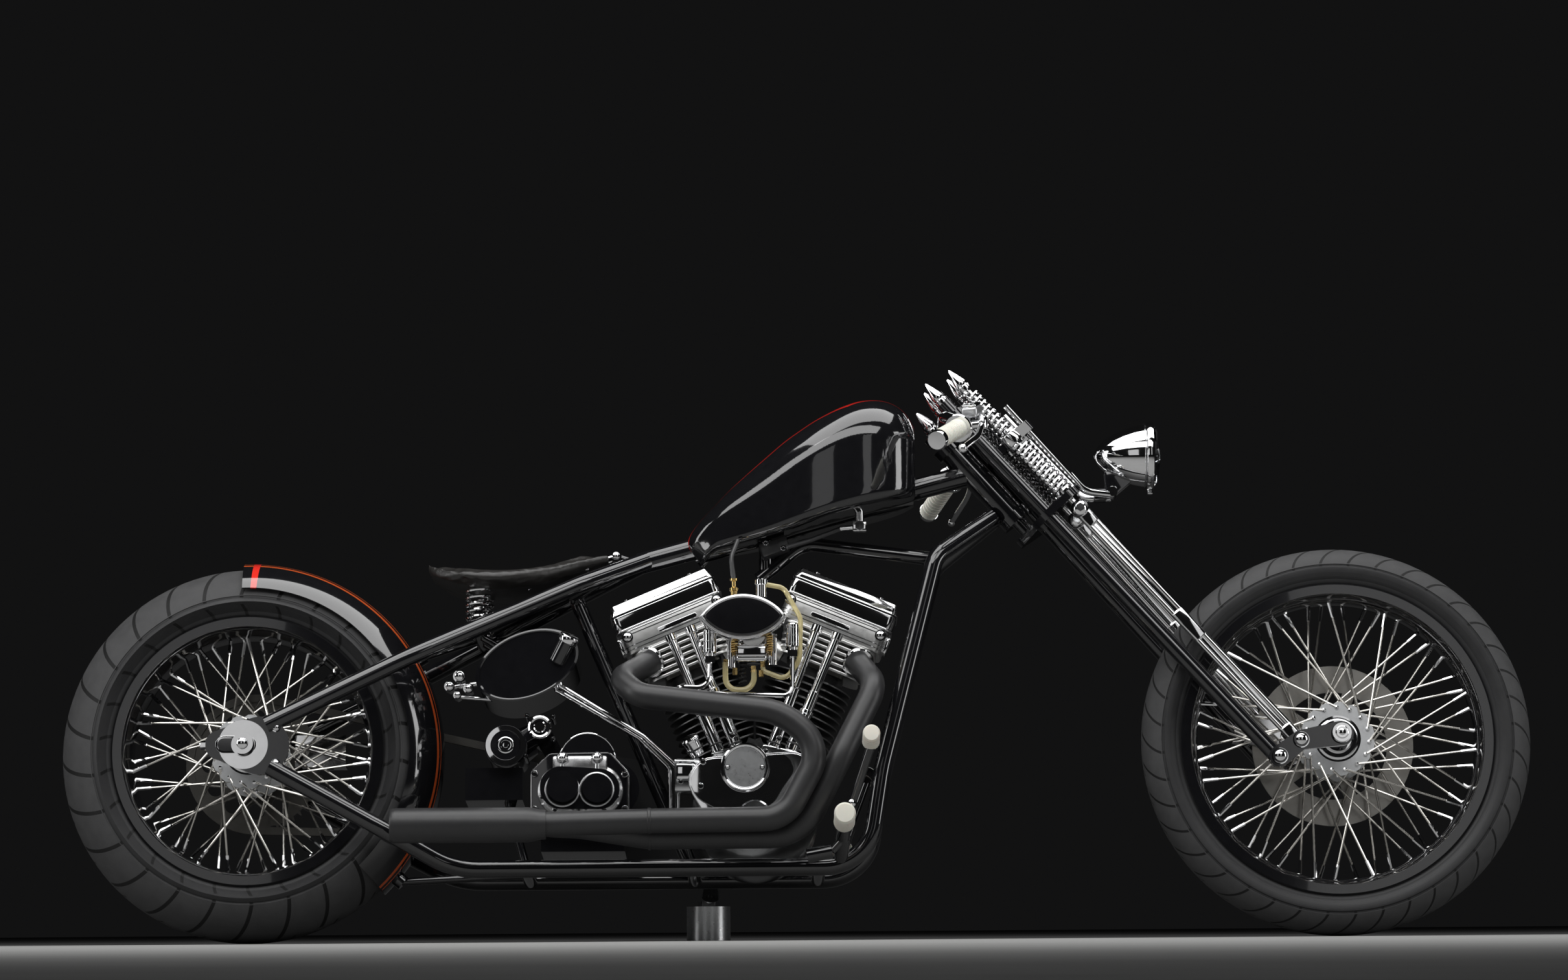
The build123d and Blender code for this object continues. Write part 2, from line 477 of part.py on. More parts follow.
band_face = chain_loop(PLATE_H / 2) - chain_loop(-PLATE_H / 2)
bands = [side_plate(band_face, CHAIN_Y + s * PLATE_GAP / 2, CHAIN_Y + s * (PLATE_GAP / 2 + PLATE_T))
         for s in SIDES]
span = math.hypot(OUTPUT_X, OUTPUT_Z - REAR_AXLE_Z)
tilt = math.atan2(OUTPUT_Z - REAR_AXLE_Z, OUTPUT_X)
flank = math.asin((rear_pitch_r - out_pitch_r) / span)
tooth = 2 * math.pi / REAR_TEETH
rollers = []
for way in (1, -1):
    leave = tilt + way * (math.pi / 2 - flank)           # where a run leaves the rear sprocket
    last = math.ceil(way * (leave - math.pi / 2) / tooth - 1e-6)
    for i in range(last, REAR_TEETH // 2 + (1 if way > 0 else 0)):
        a = math.pi / 2 + way * i * tooth
        if way * (a - tilt) < math.pi - 1e-6 or way > 0:
            rollers.append((rear_pitch_r * math.cos(a), REAR_AXLE_Z + rear_pitch_r * math.sin(a)))
    start = (rear_pitch_r * math.cos(leave), REAR_AXLE_Z + rear_pitch_r * math.sin(leave))
    end = (OUTPUT_X + out_pitch_r * math.cos(leave), OUTPUT_Z + out_pitch_r * math.sin(leave))
    run = math.hypot(end[0] - start[0], end[1] - start[1])
    first = CHAIN_PITCH - abs(math.pi / 2 + way * last * tooth - leave) * rear_pitch_r
    for i in range(int((run - first) / CHAIN_PITCH)):
        share = (first + i * CHAIN_PITCH) / run
        rollers.append((start[0] + (end[0] - start[0]) * share, start[1] + (end[1] - start[1]) * share))
front_step = 2 * math.pi / FRONT_TEETH
for i in range(FRONT_TEETH // 2 - 1):
    a = tilt + math.pi / 2 - flank - (i + 1) * front_step
    rollers.append((OUTPUT_X + out_pitch_r * math.cos(a), OUTPUT_Z + out_pitch_r * math.sin(a)))
pin = PLATE_GAP + PLATE_T
pins = [side_plate(Pos(x, z) * RegularPolygon(ROLLER_R, 6), CHAIN_Y - pin / 2, CHAIN_Y + pin / 2)
        for x, z in rollers]
nodes["drive_chain"] = bands[0] + [bands[1]] + pins

# Exhaust: two pipes join in a collector ahead of the muffler

UPPER_Y, UPPER_Z, LOWER_Y, LOWER_Z, RUN_END_X = -208.0, 200.0, -166.0, 178.0, 736.0
REAR_PIPE = [(728, -44, 502), (668, -150, 452), (704, -194, 416), (960, -200, 384), (1028, -200, 318),
             (960, UPPER_Y, UPPER_Z), (RUN_END_X, UPPER_Y, UPPER_Z)]
FRONT_PIPE = [(1088, -44, 502), (1126, -140, 440), (1062, -176, 310), (988, LOWER_Y, LOWER_Z),
              (RUN_END_X, LOWER_Y, LOWER_Z)]
MUFFLER_X0, MUFFLER_X1, MUFFLER_Y, MUFFLER_Z = 530.0, 265.0, -206.0, 186.0
pipes = joined(bent(REAR_PIPE, PIPE_R, [44, 44, 120, 62, 62]), bent(FRONT_PIPE, PIPE_R, [60, 120, 90]))
collector_ends = [  # x, y, z, width, height
    (RUN_END_X + 12, (UPPER_Y + LOWER_Y) / 2, (UPPER_Z + LOWER_Z) / 2,
     LOWER_Y - UPPER_Y + 2 * PIPE_R + 7, UPPER_Z - LOWER_Z + 2 * PIPE_R + 7),
    (MUFFLER_X0 + 4, MUFFLER_Y, MUFFLER_Z, 47.0, 47.5)]
collector = loft([Plane(origin=(x, y, z), x_dir=(0, 1, 0), z_dir=(-1, 0, 0)) * RectangleRounded(w, h, 23)
                  for x, y, z, w, h in collector_ends])
nodes["exhaust_pipes"] = joined(pipes, collector)
muffler = joined(rod((MUFFLER_X0 + 8, MUFFLER_Y, MUFFLER_Z), (MUFFLER_X0 - 20, MUFFLER_Y, MUFFLER_Z),
                     26, MUFFLER_R),
                 rod((MUFFLER_X0 - 20, MUFFLER_Y, MUFFLER_Z), (MUFFLER_X1, MUFFLER_Y, MUFFLER_Z), MUFFLER_R))
OUTLET_R, OUTLET_DEPTH = 25.0, 90.0
outlet = rod((MUFFLER_X1 - 1, MUFFLER_Y, MUFFLER_Z), (MUFFLER_X1 + OUTLET_DEPTH, MUFFLER_Y, MUFFLER_Z),
             OUTLET_R)
nodes["muffler"] = muffler - outlet

# Oil lines

lines = []
for i in range(2):
    y = -54.0 - 14 * i
    lines.append(bent([(528 + 18 * i, y, 462), (700 + 10 * i, y, 360), (756 + 14 * i, y, 304),
                       (756 + 14 * i, y, 196), (830, y, 176)], 4.5, 24))
nodes["oil_lines"] = Compound(children=lines)

# Foot controls ahead of the engine, one per side

PEG_X, PEG_Z, PEG_Y0, PEG_Y1, PEG_R = 1066.0, 187.0, 206.0, 336.0, 19.0
brackets, pegs = [], []
for side in SIDES:
    arm = joined(rod((PEG_X - 6, side * RAIL_Y, 128), (PEG_X - 2, side * 150, 168), 13),
                 rod((PEG_X - 2, side * 150, 168), (PEG_X, side * PEG_Y0, PEG_Z), 13, 11),
                 rod((PEG_X, side * 184, PEG_Z - 4), (PEG_X + 14, side * 190, PEG_Z + 36), 10),
                 rod((PEG_X + 12, side * 189, PEG_Z + 30), (PEG_X + 48, side * 232, 318), 8),
                 rod((PEG_X + 48, side * 220, 326), (PEG_X + 48, side * 304, 330), 14))
    brackets.append(arm)
    pegs.append(across(PEG_X, PEG_Z, PEG_R, side * PEG_Y0, side * PEG_Y1))
brackets[0] = joined(brackets[0], rod((PEG_X - 66, -150, 134), (PEG_X - 22, -150, 142), 13),
                     rod((PEG_X - 22, -150, 142), (PEG_X - 4, -148, 162), 7))
nodes["foot_controls"] = Compound(children=brackets)
nodes["foot_pegs"] = Compound(children=pegs)

# Rear brake on the sprocket

CALIPER_X, CALIPER_Z = 118.0, REAR_AXLE_Z + 20
DISC_GAP = 3.0
inner_y, outer_y = CHAIN_Y - 32, CHAIN_Y + 15
caliper = Pos(CALIPER_X, (inner_y + outer_y) / 2, CALIPER_Z) * Box(92, outer_y - inner_y, 58)
caliper -= Pos(CALIPER_X - 24, CHAIN_Y, CALIPER_Z) * Box(92, SPROCKET_T + 2 * DISC_GAP, 80)
hanger = side_plate(capsule(46, REAR_AXLE_Z - 4, 12, CALIPER_X - 14, CALIPER_Z, 16),
                    outer_y - 1, PLATE_Y - PLATE_THICK / 2)
nodes["rear_caliper"] = joined(caliper, hanger)

# Springer fork

PIVOT_REAR = (AXLE_N + ROCKER_REAR[0], AXLE_H + ROCKER_REAR[1])
PIVOT_FRONT = (AXLE_N + ROCKER_FRONT[0], AXLE_H + ROCKER_FRONT[1])
LEG_TOP_H, ROD_TOP_H, EYE_H = 150.0, 140.0, -160.0
leg_slope = (LEG_LOW_Y - LEG_TOP_Y) / (LEG_TOP_H - PIVOT_REAR[1])


def leg_y(h):
    """Distance of a leg from the middle at a height on the fork."""
    return LEG_TOP_Y + (LEG_TOP_H - h) * leg_slope


def rod_y(h):
    """Distance of a spring rod from the middle at a height on the fork."""
    return LEG_TOP_Y + (ROD_TOP_H - h) / (ROD_TOP_H - EYE_H) * (leg_y(EYE_H) - LEG_TOP_Y)


PANELS = ((0.06, 0.44), (0.56, 0.94))         # grooved stretches of a front leg


def beam(start, end):
    """Flat bar with two grooves on each side."""
    length = (end - start).length
    at = Plane(origin=start, x_dir=FORK.x_dir, z_dir=end - start)
    bar = at * Box(BEAM_W, BEAM_T, length, align=UP)
    grooves = [at * Pos(0, s * BEAM_T / 2, length * (low + high) / 2)
               * Box(BEAM_W - 11, 2 * BEAM_GROOVE, length * (high - low))
               for low, high in PANELS for s in SIDES]
    return bar - grooves


rear_legs, front_legs, bullets, rockers = [], [], [], []
for side in SIDES:
    rear_foot = on_fork(PIVOT_REAR[0], side * LEG_LOW_Y, PIVOT_REAR[1])
    front_foot = on_fork(PIVOT_FRONT[0], side * LEG_LOW_Y, PIVOT_FRONT[1])
    eye = on_fork(ROD_AHEAD, side * leg_y(EYE_H), EYE_H)
    leg_top = on_fork(LEG_AHEAD, side * LEG_TOP_Y, LEG_TOP_H)
    rod_top = on_fork(ROD_AHEAD, side * LEG_TOP_Y, ROD_TOP_H)
    seats = [rod(on_fork(n, side * (LEG_LOW_Y - 8), h), on_fork(n, side * (ROCKER_Y - SEAT_GAP), h), r)
             for (n, h), r in ((PIVOT_REAR, 17), (PIVOT_FRONT, 14))]
    rear_legs.append(joined(rod(leg_top, rear_foot, REAR_LEG_R), seats[0]))
    front_legs.append(joined(beam(eye, front_foot), seats[1], rod(eye, rod_top, ROD_R), Pos(eye) * Sphere(15)))
    leg_way, rod_way = (leg_top - rear_foot).normalized(), (rod_top - eye).normalized()
    bullets += [rod(leg_top, leg_top + leg_way * 50, 14, 4), rod(rod_top, rod_top + rod_way * 44, 14, 4)]
    outline = capsule(*PIVOT_REAR, 19, *PIVOT_FRONT, 17) + capsule(*PIVOT_FRONT, 17, AXLE_N, AXLE_H, 22)
    outer = max(side * ROCKER_Y, side * (ROCKER_Y + ROCKER_T))
    face = Plane(origin=on_fork(0, outer, 0), x_dir=FORK.x_dir, z_dir=(0, -1, 0)) * outline
    bolts = [rod(on_fork(n, side * (ROCKER_Y + ROCKER_T), h),
                 on_fork(n, side * (ROCKER_Y + ROCKER_T + 9), h), 13)
             for n, h in (PIVOT_REAR, PIVOT_FRONT)]
    rocker = joined(extrude(face, ROCKER_T, dir=(0, -1, 0)), *bolts)
    rockers.append(rocker - across(WHEELBASE, FRONT_AXLE_Z, AXLE_R + FIT, -140, 140))
bullets.append(rod(on_fork(0, 0, UPPER_TREE_H + 8), on_fork(0, 0, UPPER_TREE_H + 52), 14, 4))
nodes["fork_rear_legs"] = Compound(children=rear_legs)
nodes["fork_front_legs"] = Compound(children=front_legs)
nodes["fork_bullets"] = Compound(children=bullets)
nodes["fork_rockers"] = Compound(children=rockers)

low_y = leg_y(LOWER_TREE_H)
upper_face = make_hull((Circle(26) + [Pos(LEG_AHEAD, s * LEG_TOP_Y) * Circle(22) for s in SIDES]).edges())
lower_face = make_hull((Circle(28) + [Pos(n, s * low_y) * Circle(21)
                                      for n in (LEG_AHEAD, ROD_AHEAD) for s in SIDES]).edges())
upper = FORK * Pos(0, 0, UPPER_TREE_H) * extrude(upper_face, TREE_T / 2, both=True)
lower = FORK * Pos(0, 0, LOWER_TREE_H) * extrude(lower_face, TREE_T / 2, both=True)
stem = FORK * Pos(0, 0, LOWER_TREE_H) * Cylinder(STEM_R, UPPER_TREE_H + 8 - LOWER_TREE_H, align=UP)
nodes["fork_trees"] = joined(upper, lower, stem)

YOKE_H = 16.0
spring_sets = []
for side in SIDES:
    for low, high, radius, turns in ((LOWER_TREE_H + TREE_T / 2, YOKE_H - 10, 21, 13),
                                     (YOKE_H + 10, ROD_TOP_H, 18, 10)):
        start, end = [on_fork(ROD_AHEAD, side * rod_y(h), h) for h in (low, high)]
        axis = end - start
        spring_sets.append(coil(Plane(origin=start, z_dir=axis), radius, 6, axis.length / turns, turns))
nodes["fork_springs"] = Compound(children=spring_sets)
LAMP_ARM_AHEAD, LAMP_ARM_R = 32.0, 7.0
arm_y = rod_y(YOKE_H)
clamps = [FORK * Pos(0, 0, YOKE_H) *
          extrude(capsule(ROD_AHEAD, s * arm_y, 20, ROD_AHEAD + LAMP_ARM_AHEAD, s * arm_y, 12), 10, both=True)
          for s in SIDES]
yoke = FORK * Pos((ROD_AHEAD + LEG_AHEAD) / 2, 0, YOKE_H) * Box(ROD_AHEAD - LEG_AHEAD + 8,
                                                                2 * leg_y(YOKE_H), 14)
nodes["spring_yoke"] = joined(yoke, *clamps)

rocker_end = ROCKER_Y + ROCKER_T
nodes["front_axle"] = joined(across(WHEELBASE, FRONT_AXLE_Z, AXLE_R, -rocker_end - 18, rocker_end + 18),
                             *[across(WHEELBASE, FRONT_AXLE_Z, 17, s * rocker_end, s * (rocker_end + 14))
                               for s in SIDES],
                             across(WHEELBASE, FRONT_AXLE_Z, 15, -ROCKER_Y, -FRONT_HUB_END - SEAT_GAP),
                             across(WHEELBASE, FRONT_AXLE_Z, 15, ROTOR_Y + ROTOR_T + SEAT_GAP, ROCKER_Y))

CALIPER_H = AXLE_H + 112
inner_y, outer_y = ROTOR_Y - 14, ROTOR_Y + ROTOR_T + 8
caliper_at = FORK * Pos(LEG_AHEAD + 24, (inner_y + outer_y) / 2, CALIPER_H) * Rot(0, -40, 0)
front_caliper = caliper_at * Box(54, outer_y - inner_y, 84)
rotor_room = Cylinder(ROTOR_R + 5, ROTOR_T + 2 * DISC_GAP)
front_caliper -= FORK * Pos(AXLE_N, ROTOR_Y + ROTOR_T / 2, AXLE_H) * Rot(90, 0, 0) * rotor_room
hanger = rod(on_fork(LEG_AHEAD, leg_y(CALIPER_H), CALIPER_H + 16),
             on_fork(LEG_AHEAD + 16, outer_y - 2, CALIPER_H + 16), 12)
nodes["front_caliper"] = joined(front_caliper, hanger)

GRIP_IN, GRIP_OUT, GRIP_R = (1.0, 250.0, 73.0), (-62.0, 372.0, 68.0), 17.0     # in the fork frame
BAR_R, BAR_AHEAD = 12.7, 13.0
bars, grips, levers = [], [], []
for side in SIDES:
    inner, outer = [on_fork(n, side * y, h) for n, y, h in (GRIP_IN, GRIP_OUT)]
    along = (outer - inner).normalized()
    bars.append(bent([on_fork(BAR_AHEAD, side * 30, UPPER_TREE_H),
                      on_fork(BAR_AHEAD, side * 130, UPPER_TREE_H),
                      inner - along * 30, inner + along * 116], BAR_R, [50, 60]))
    grips.append(joined(rod(inner, outer, GRIP_R), rod(inner, inner + along * 8, 26)))
    root, ahead = inner - along * 24, Vector(34, 0, 4)
    levers.append(joined(rod(root - along * 12, root + along * 12, 18), rod(root, root + ahead, 11),
                         rod(root + ahead, outer + Vector(46, 0, -14), 6.5),
                         Pos(root + Vector(20, 0, 30)) * Box(40, 44, 26)))
nodes["handlebar"] = Compound(children=bars)
nodes["grips"] = Compound(children=grips)
nodes["levers"] = Compound(children=levers)

LAMP_AT, LAMP_R, LAMP_L, LAMP_RIM, LENS_T = on_fork(264.6, 0, -172.4), 62.0, 109.0, 14.0, 12.0
shell = make_face(Curve() + [ThreePointArc((-LAMP_L, 0), (-LAMP_L * 0.66, 36), (-LAMP_RIM, LAMP_R - 5)),
                             Polyline((-LAMP_RIM, LAMP_R - 5), (-LAMP_RIM, LAMP_R), (0, LAMP_R), (0, 0),
                                      (-LAMP_L, 0))])
lamp_pivot = LAMP_AT + Vector(-76, 0, -65)
lamp = Pos(LAMP_AT) * revolve(Plane.XZ * shell, Axis.X)
nodes["headlamp"] = joined(lamp, rod(lamp_pivot, LAMP_AT + Vector(-58, 0, -20), 12))
nodes["headlamp_lens"] = rod(LAMP_AT, LAMP_AT + Vector(LENS_T, 0, 0), LAMP_R - 6, LAMP_R - 26)
arms = []
for side in SIDES:
    arms.append(bent([on_fork(ROD_AHEAD + LAMP_ARM_AHEAD, side * arm_y, 70),
                      on_fork(ROD_AHEAD + LAMP_ARM_AHEAD, side * 36, -140),
                      lamp_pivot + Vector(0, side * 15, -9)], LAMP_ARM_R, 34))
nodes["lamp_bracket"] = joined(arms[0], arms[1],
                               rod(lamp_pivot + Vector(0, -24, -4), lamp_pivot + Vector(0, 24, -4), 9))

# Side stand and the puck it stands on

PUCK_R, PUCK_H, PUCK_X, PUCK_Y = 40.0, 62.0, 820.0, 224.0    # place on the floor after leaning
STAND_ROOT = Vector(826, 142, 108)
STAND_PIN_R, STAND_BARREL_R, STAND_BARREL_H, EAR_T = 8.0, 15.0, 24.0, 6.0
FOOT_R, FOOT_T, STAND_LEG_R = 20.0, 9.0, 9.0
to_floor = Rot(-LEAN, 0, 0)
on_puck = to_floor.inverse() * Pos(PUCK_X, PUCK_Y, PUCK_H)
foot = on_puck * Pos(0, 0, SEAT_GAP) * Cylinder(FOOT_R, FOOT_T, align=UP)
hinge = Plane(origin=STAND_ROOT, x_dir=(1, 0, -0.10), z_dir=(0.10, 0.42, 1.0))
leg = joined(rod(STAND_ROOT, (on_puck * Pos(0, 0, FOOT_T)).position, STAND_LEG_R),
             hinge * Cylinder(STAND_BARREL_R, STAND_BARREL_H))
leg -= on_puck * Pos(0, 0, FOOT_T / 2 - 40) * Cylinder(60, 80)
nodes["side_stand"] = joined(leg, foot) - hinge * Cylinder(STAND_PIN_R + FIT, 2 * STAND_BARREL_H)
lug = hinge * Cylinder(STAND_PIN_R, STAND_BARREL_H + 2 * EAR_T + 6)
ear = Cylinder(STAND_BARREL_R, EAR_T) + Pos(0, -18, 0) * Box(26, 36, EAR_T)
ears = [hinge * Pos(0, 0, s * (STAND_BARREL_H / 2 + EAR_T / 2 + SEAT_GAP)) * ear for s in SIDES]
nodes["stand_lug"] = joined(lug, *ears)
nodes["stand_puck"] = to_floor.inverse() * Pos(PUCK_X, PUCK_Y, 0) * Cylinder(PUCK_R, PUCK_H, align=UP)

# Pieces that meet are coped to the one they are welded or bolted to

COPED = {
    "frame_cradle": ["frame_spine"], "frame_stays": ["frame_spine", "frame_cradle", "rear_axle"],
    "frame_seat_post": ["frame_cradle", "frame_stays", "frame_spine"], "frame_cross_tubes": ["frame_cradle"],
    "fender_struts": ["rear_fender", "frame_cross_tubes", "frame_stays"], "oil_tank": ["fender_struts"],
    "crankcase": ["frame_seat_post", "frame_cross_tubes"],
    "cylinders": ["crankcase"], "pushrod_tubes": ["crankcase", "cylinder_heads", "cylinders", "rocker_covers"],
    "carburettor": ["cylinder_heads", "cylinders"], "air_cleaner": ["carburettor"],
    "exhaust_pipes": ["cylinder_heads", "muffler"],
    "tank_cap": ["fuel_tank"], "oil_filler_cap": ["oil_tank"], "seat_springs": ["fender_struts", "seat"],
    "foot_controls": ["frame_cradle", "foot_pegs"],
    "stand_lug": ["frame_cradle"], "oil_lines": ["oil_tank", "crankcase"], "starter": ["gearbox"],
    "electrics_box": ["frame_cross_tubes"],
    "rear_rim": ["rear_hub"], "front_rim": ["front_hub"],
    "fork_trees": ["fork_rear_legs", "fork_front_legs"],
    "spring_yoke": ["fork_rear_legs", "fork_front_legs", "lamp_bracket"],
    "fork_springs": ["fork_trees", "spring_yoke"],
    "front_caliper": ["fork_rear_legs", "fork_front_legs"],
    "handlebar": ["fork_trees", "grips", "levers"], "headlamp": ["lamp_bracket"],
}
for name, seats in COPED.items():
    for other in seats:
        nodes[name] = nodes[name] - nodes[other]

# Lean the machine onto its stand and put the origin under the middle of its box

leaned = {name: to_floor * shape for name, shape in nodes.items()}
box = Compound(children=[Compound(shape.wrapped) for shape in leaned.values()]).bounding_box()
shift = Pos(-(box.min.X + box.max.X) / 2, -(box.min.Y + box.max.Y) / 2, -box.min.Z)
for name, shape in leaned.items():
    export_step(shift * shape, f"parts/{name}.step")
print("size", box.size, "shift", shift.position)
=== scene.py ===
"""Long-fork chopper: finishes, fine pieces and the studio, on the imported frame."""
import json
import math

import bmesh
import bpy
from bpy.props import FloatProperty, FloatVectorProperty, IntProperty, PointerProperty
from mathutils import Matrix, Vector


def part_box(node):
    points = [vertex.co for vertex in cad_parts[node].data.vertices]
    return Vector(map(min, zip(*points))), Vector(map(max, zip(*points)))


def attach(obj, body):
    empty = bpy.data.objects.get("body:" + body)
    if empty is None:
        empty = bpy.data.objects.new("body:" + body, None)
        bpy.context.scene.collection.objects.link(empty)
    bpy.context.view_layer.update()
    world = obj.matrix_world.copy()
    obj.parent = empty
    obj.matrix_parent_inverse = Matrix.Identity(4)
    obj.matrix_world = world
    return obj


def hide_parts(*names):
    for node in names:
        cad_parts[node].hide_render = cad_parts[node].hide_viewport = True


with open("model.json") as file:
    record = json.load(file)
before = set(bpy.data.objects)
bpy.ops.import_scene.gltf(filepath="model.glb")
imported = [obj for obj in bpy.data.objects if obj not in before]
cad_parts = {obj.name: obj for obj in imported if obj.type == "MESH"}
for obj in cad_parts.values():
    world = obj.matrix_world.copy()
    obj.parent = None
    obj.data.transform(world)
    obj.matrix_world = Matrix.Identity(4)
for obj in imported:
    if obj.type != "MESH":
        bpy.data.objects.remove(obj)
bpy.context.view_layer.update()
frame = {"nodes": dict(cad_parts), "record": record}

bl_info = {
    "name": "Long-fork chopper",
    "version": (1, 0, 0),
    "blender": (4, 5, 0),
    "location": "View3D > Sidebar > Chopper",
    "description": "Finishes and fine pieces of a rigid long-fork chopper",
    "category": "Add Mesh",
}


def moved(x, y, z):
    """A move by three lengths."""
    return Matrix.Translation((x, y, z))


# Places of the upright machine in millimetres: X forward from the rear axle, Y left, Z up
JOINTS = {j["name"]: j for j in frame["record"]["behaviour"]["joints"]}
REAR_AT = Vector(JOINTS["rear_axle_turn"]["pos_m"])
LEAN = math.atan2(-JOINTS["rear_axle_turn"]["axis"][2], JOINTS["rear_axle_turn"]["axis"][1])
REAR_Z, FRONT_Z, WHEELBASE = 339.17, 350.914, 1955.0
MM = 0.001
UPRIGHT = Matrix.Translation(REAR_AT) @ Matrix.Rotation(-LEAN, 4, "X") @ moved(0, 0, -REAR_Z * MM)
BIKE = UPRIGHT @ Matrix.Scale(MM, 4)
RAKE = math.radians(42)
FORK = moved(1324, 0, 829) @ Matrix.Rotation(-RAKE, 4, "Y")
SIDES = (-1, 1)


# Shader arithmetic

class Value:
    """A socket that takes part in arithmetic by adding Math nodes."""

    def __init__(self, finish, socket):
        self.finish, self.socket = finish, socket

    def _math(self, operation, first, second=None):
        sockets = {0: first} if second is None else {0: first, 1: second}
        return self.finish.node("ShaderNodeMath", {"operation": operation}, sockets)

    def __add__(self, other): return self._math("ADD", self, other)
    def __radd__(self, other): return self._math("ADD", other, self)
    def __sub__(self, other): return self._math("SUBTRACT", self, other)
    def __rsub__(self, other): return self._math("SUBTRACT", other, self)
    def __mul__(self, other): return self._math("MULTIPLY", self, other)
    def __rmul__(self, other): return self._math("MULTIPLY", other, self)
    def __truediv__(self, other): return self._math("DIVIDE", self, other)
    def __rtruediv__(self, other): return self._math("DIVIDE", other, self)
    def __gt__(self, other): return self._math("GREATER_THAN", self, other)
    def __lt__(self, other): return self._math("LESS_THAN", self, other)
    def __abs__(self): return self._math("ABSOLUTE", self)
    def fraction(self): return self._math("FRACT", self)
    def root(self): return self._math("SQRT", self)
    def sine(self): return self._math("SINE", self)
    def angle(self, other): return self._math("ARCTAN2", self, other)
    def least(self, other): return self._math("MINIMUM", self, other)
    def most(self, other): return self._math("MAXIMUM", self, other)


class Finish:
    """One procedural material around a Principled shader."""

    def __init__(self, name, **constants):
        self.material = bpy.data.materials.new(name)
        self.material.use_nodes = True
        self.tree = self.material.node_tree
        self.shader = self.tree.nodes["Principled BSDF"]
        for key, value in constants.items():
            self.shader.inputs[key.replace("_", " ")].default_value = value

    def node(self, kind, settings=None, sockets=None, out=0):
        """Adds a node: its settings first, then the values or links of its sockets."""
        node = self.tree.nodes.new(kind)
        for key, value in (settings or {}).items():
            setattr(node, key, value)
        for key, value in (sockets or {}).items():
            self.join(node.inputs[key], value)
        return Value(self, node.outputs[out])

    def join(self, target, value):
        """Links a value to a socket, or sets the socket to a constant."""
        if isinstance(value, Value):
            self.tree.links.new(value.socket, target)
        else:
            target.default_value = value

    def place(self, at=None):
        """Object coordinates, in metres, seen from a frame of the machine."""
        spot = self.node("ShaderNodeTexCoord", out=3)
        if at is None:
            return spot
        back = at.inverted()
        return self.node("ShaderNodeMapping", {"vector_type": "POINT"},
                         {0: spot, 1: back.to_translation(), 2: back.to_euler()})

    def split(self, vector):
        """The three parts of a vector."""
        node = self.node("ShaderNodeSeparateXYZ", sockets={0: vector}).socket.node
        return [Value(self, s) for s in node.outputs]

    def noise(self, scale, detail=3.0, rough=0.5):
        """Soft noise that stays with the piece."""
        return self.node("ShaderNodeTexNoise", sockets={
            "Vector": self.place(), "Scale": scale, "Detail": detail, "Roughness": rough})

    def mix(self, factor, first, second):
        """Blend of two colours."""
        first, second = [(*c, 1) if isinstance(c, tuple) else c for c in (first, second)]
        return self.node("ShaderNodeMix", {"data_type": "RGBA"}, {0: factor, 6: first, 7: second}, out=2)

    def bump(self, height, strength, distance):
        """Fine relief, read by the shader as a tilt of the surface."""
        sockets = {"Strength": strength, "Distance": distance, "Height": height}
        self.feed(Normal=self.node("ShaderNodeBump", sockets=sockets))
        return self

    def feed(self, **inputs):
        """Sets inputs of the shader by name, with _ for a space."""
        for key, value in inputs.items():
            self.join(self.shader.inputs[key.replace("_", " ")], value)
        return self


def band(value, middle, half):
    """1 inside a strip of a value, 0 outside."""
    return abs(value - middle) < half


def scaled(at):
    """The same frame with its place in metres."""
    return Matrix.Translation(at.to_translation() * MM) @ at.to_3x3().to_4x4()


def shade(colour, by):
    """A lighter or darker tone of a colour."""
    return tuple(min(1, c * by) for c in colour)


def wheel_frame(axle_x, axle_z):
    """Frame of an upright wheel at its axle, in metres."""
    return UPRIGHT @ moved(axle_x * MM, 0, axle_z * MM)


# Shapes, each a small bmesh in millimetres

ALONG_X = Matrix.Rotation(math.pi / 2, 4, "Y")
ALONG_Y = Matrix.Rotation(-math.pi / 2, 4, "X")
CREASE = math.radians(34)                            # edges bent by more than this stay sharp
RIGHT = Matrix.Rotation(math.pi / 2, 4, "X")         # drawn in side view, raised towards the right-hand side


def outward(side):
    """Turns a part to face away from the machine on its right (-1) or left (1)."""
    return RIGHT if side < 0 else ALONG_Y


def corners(geom):
    """The points among what a bmesh operator made."""
    return [g for g in geom if isinstance(g, bmesh.types.BMVert)]


def lines(geom):
    """The edges among what a bmesh operator made."""
    return [g for g in geom if isinstance(g, bmesh.types.BMEdge)]


def spun(bm, steps):
    """Spins a section fully about Z and closes the result."""
    bmesh.ops.spin(bm, geom=bm.verts[:] + bm.edges[:], cent=(0, 0, 0), axis=(0, 0, 1), angle=2 * math.pi,
                   steps=steps, use_merge=True)
    bmesh.ops.remove_doubles(bm, verts=bm.verts, dist=0.001)
    bmesh.ops.recalc_face_normals(bm, faces=bm.faces)
    return bm


def merged(node):
    """Copy of a carried-over node's mesh with its triangles joined."""
    bm = bmesh.new()
    bm.from_mesh(frame["nodes"][node].data)
    bmesh.ops.remove_doubles(bm, verts=bm.verts, dist=0.0002)
    bmesh.ops.recalc_face_normals(bm, faces=bm.faces)
    return bm


def toward(start, end):
    """Frame at a point with its Z axis aimed at another."""
    a, b = Vector(start), Vector(end)
    return Matrix.Translation(a) @ (b - a).to_track_quat("Z", "Y").to_matrix().to_4x4()


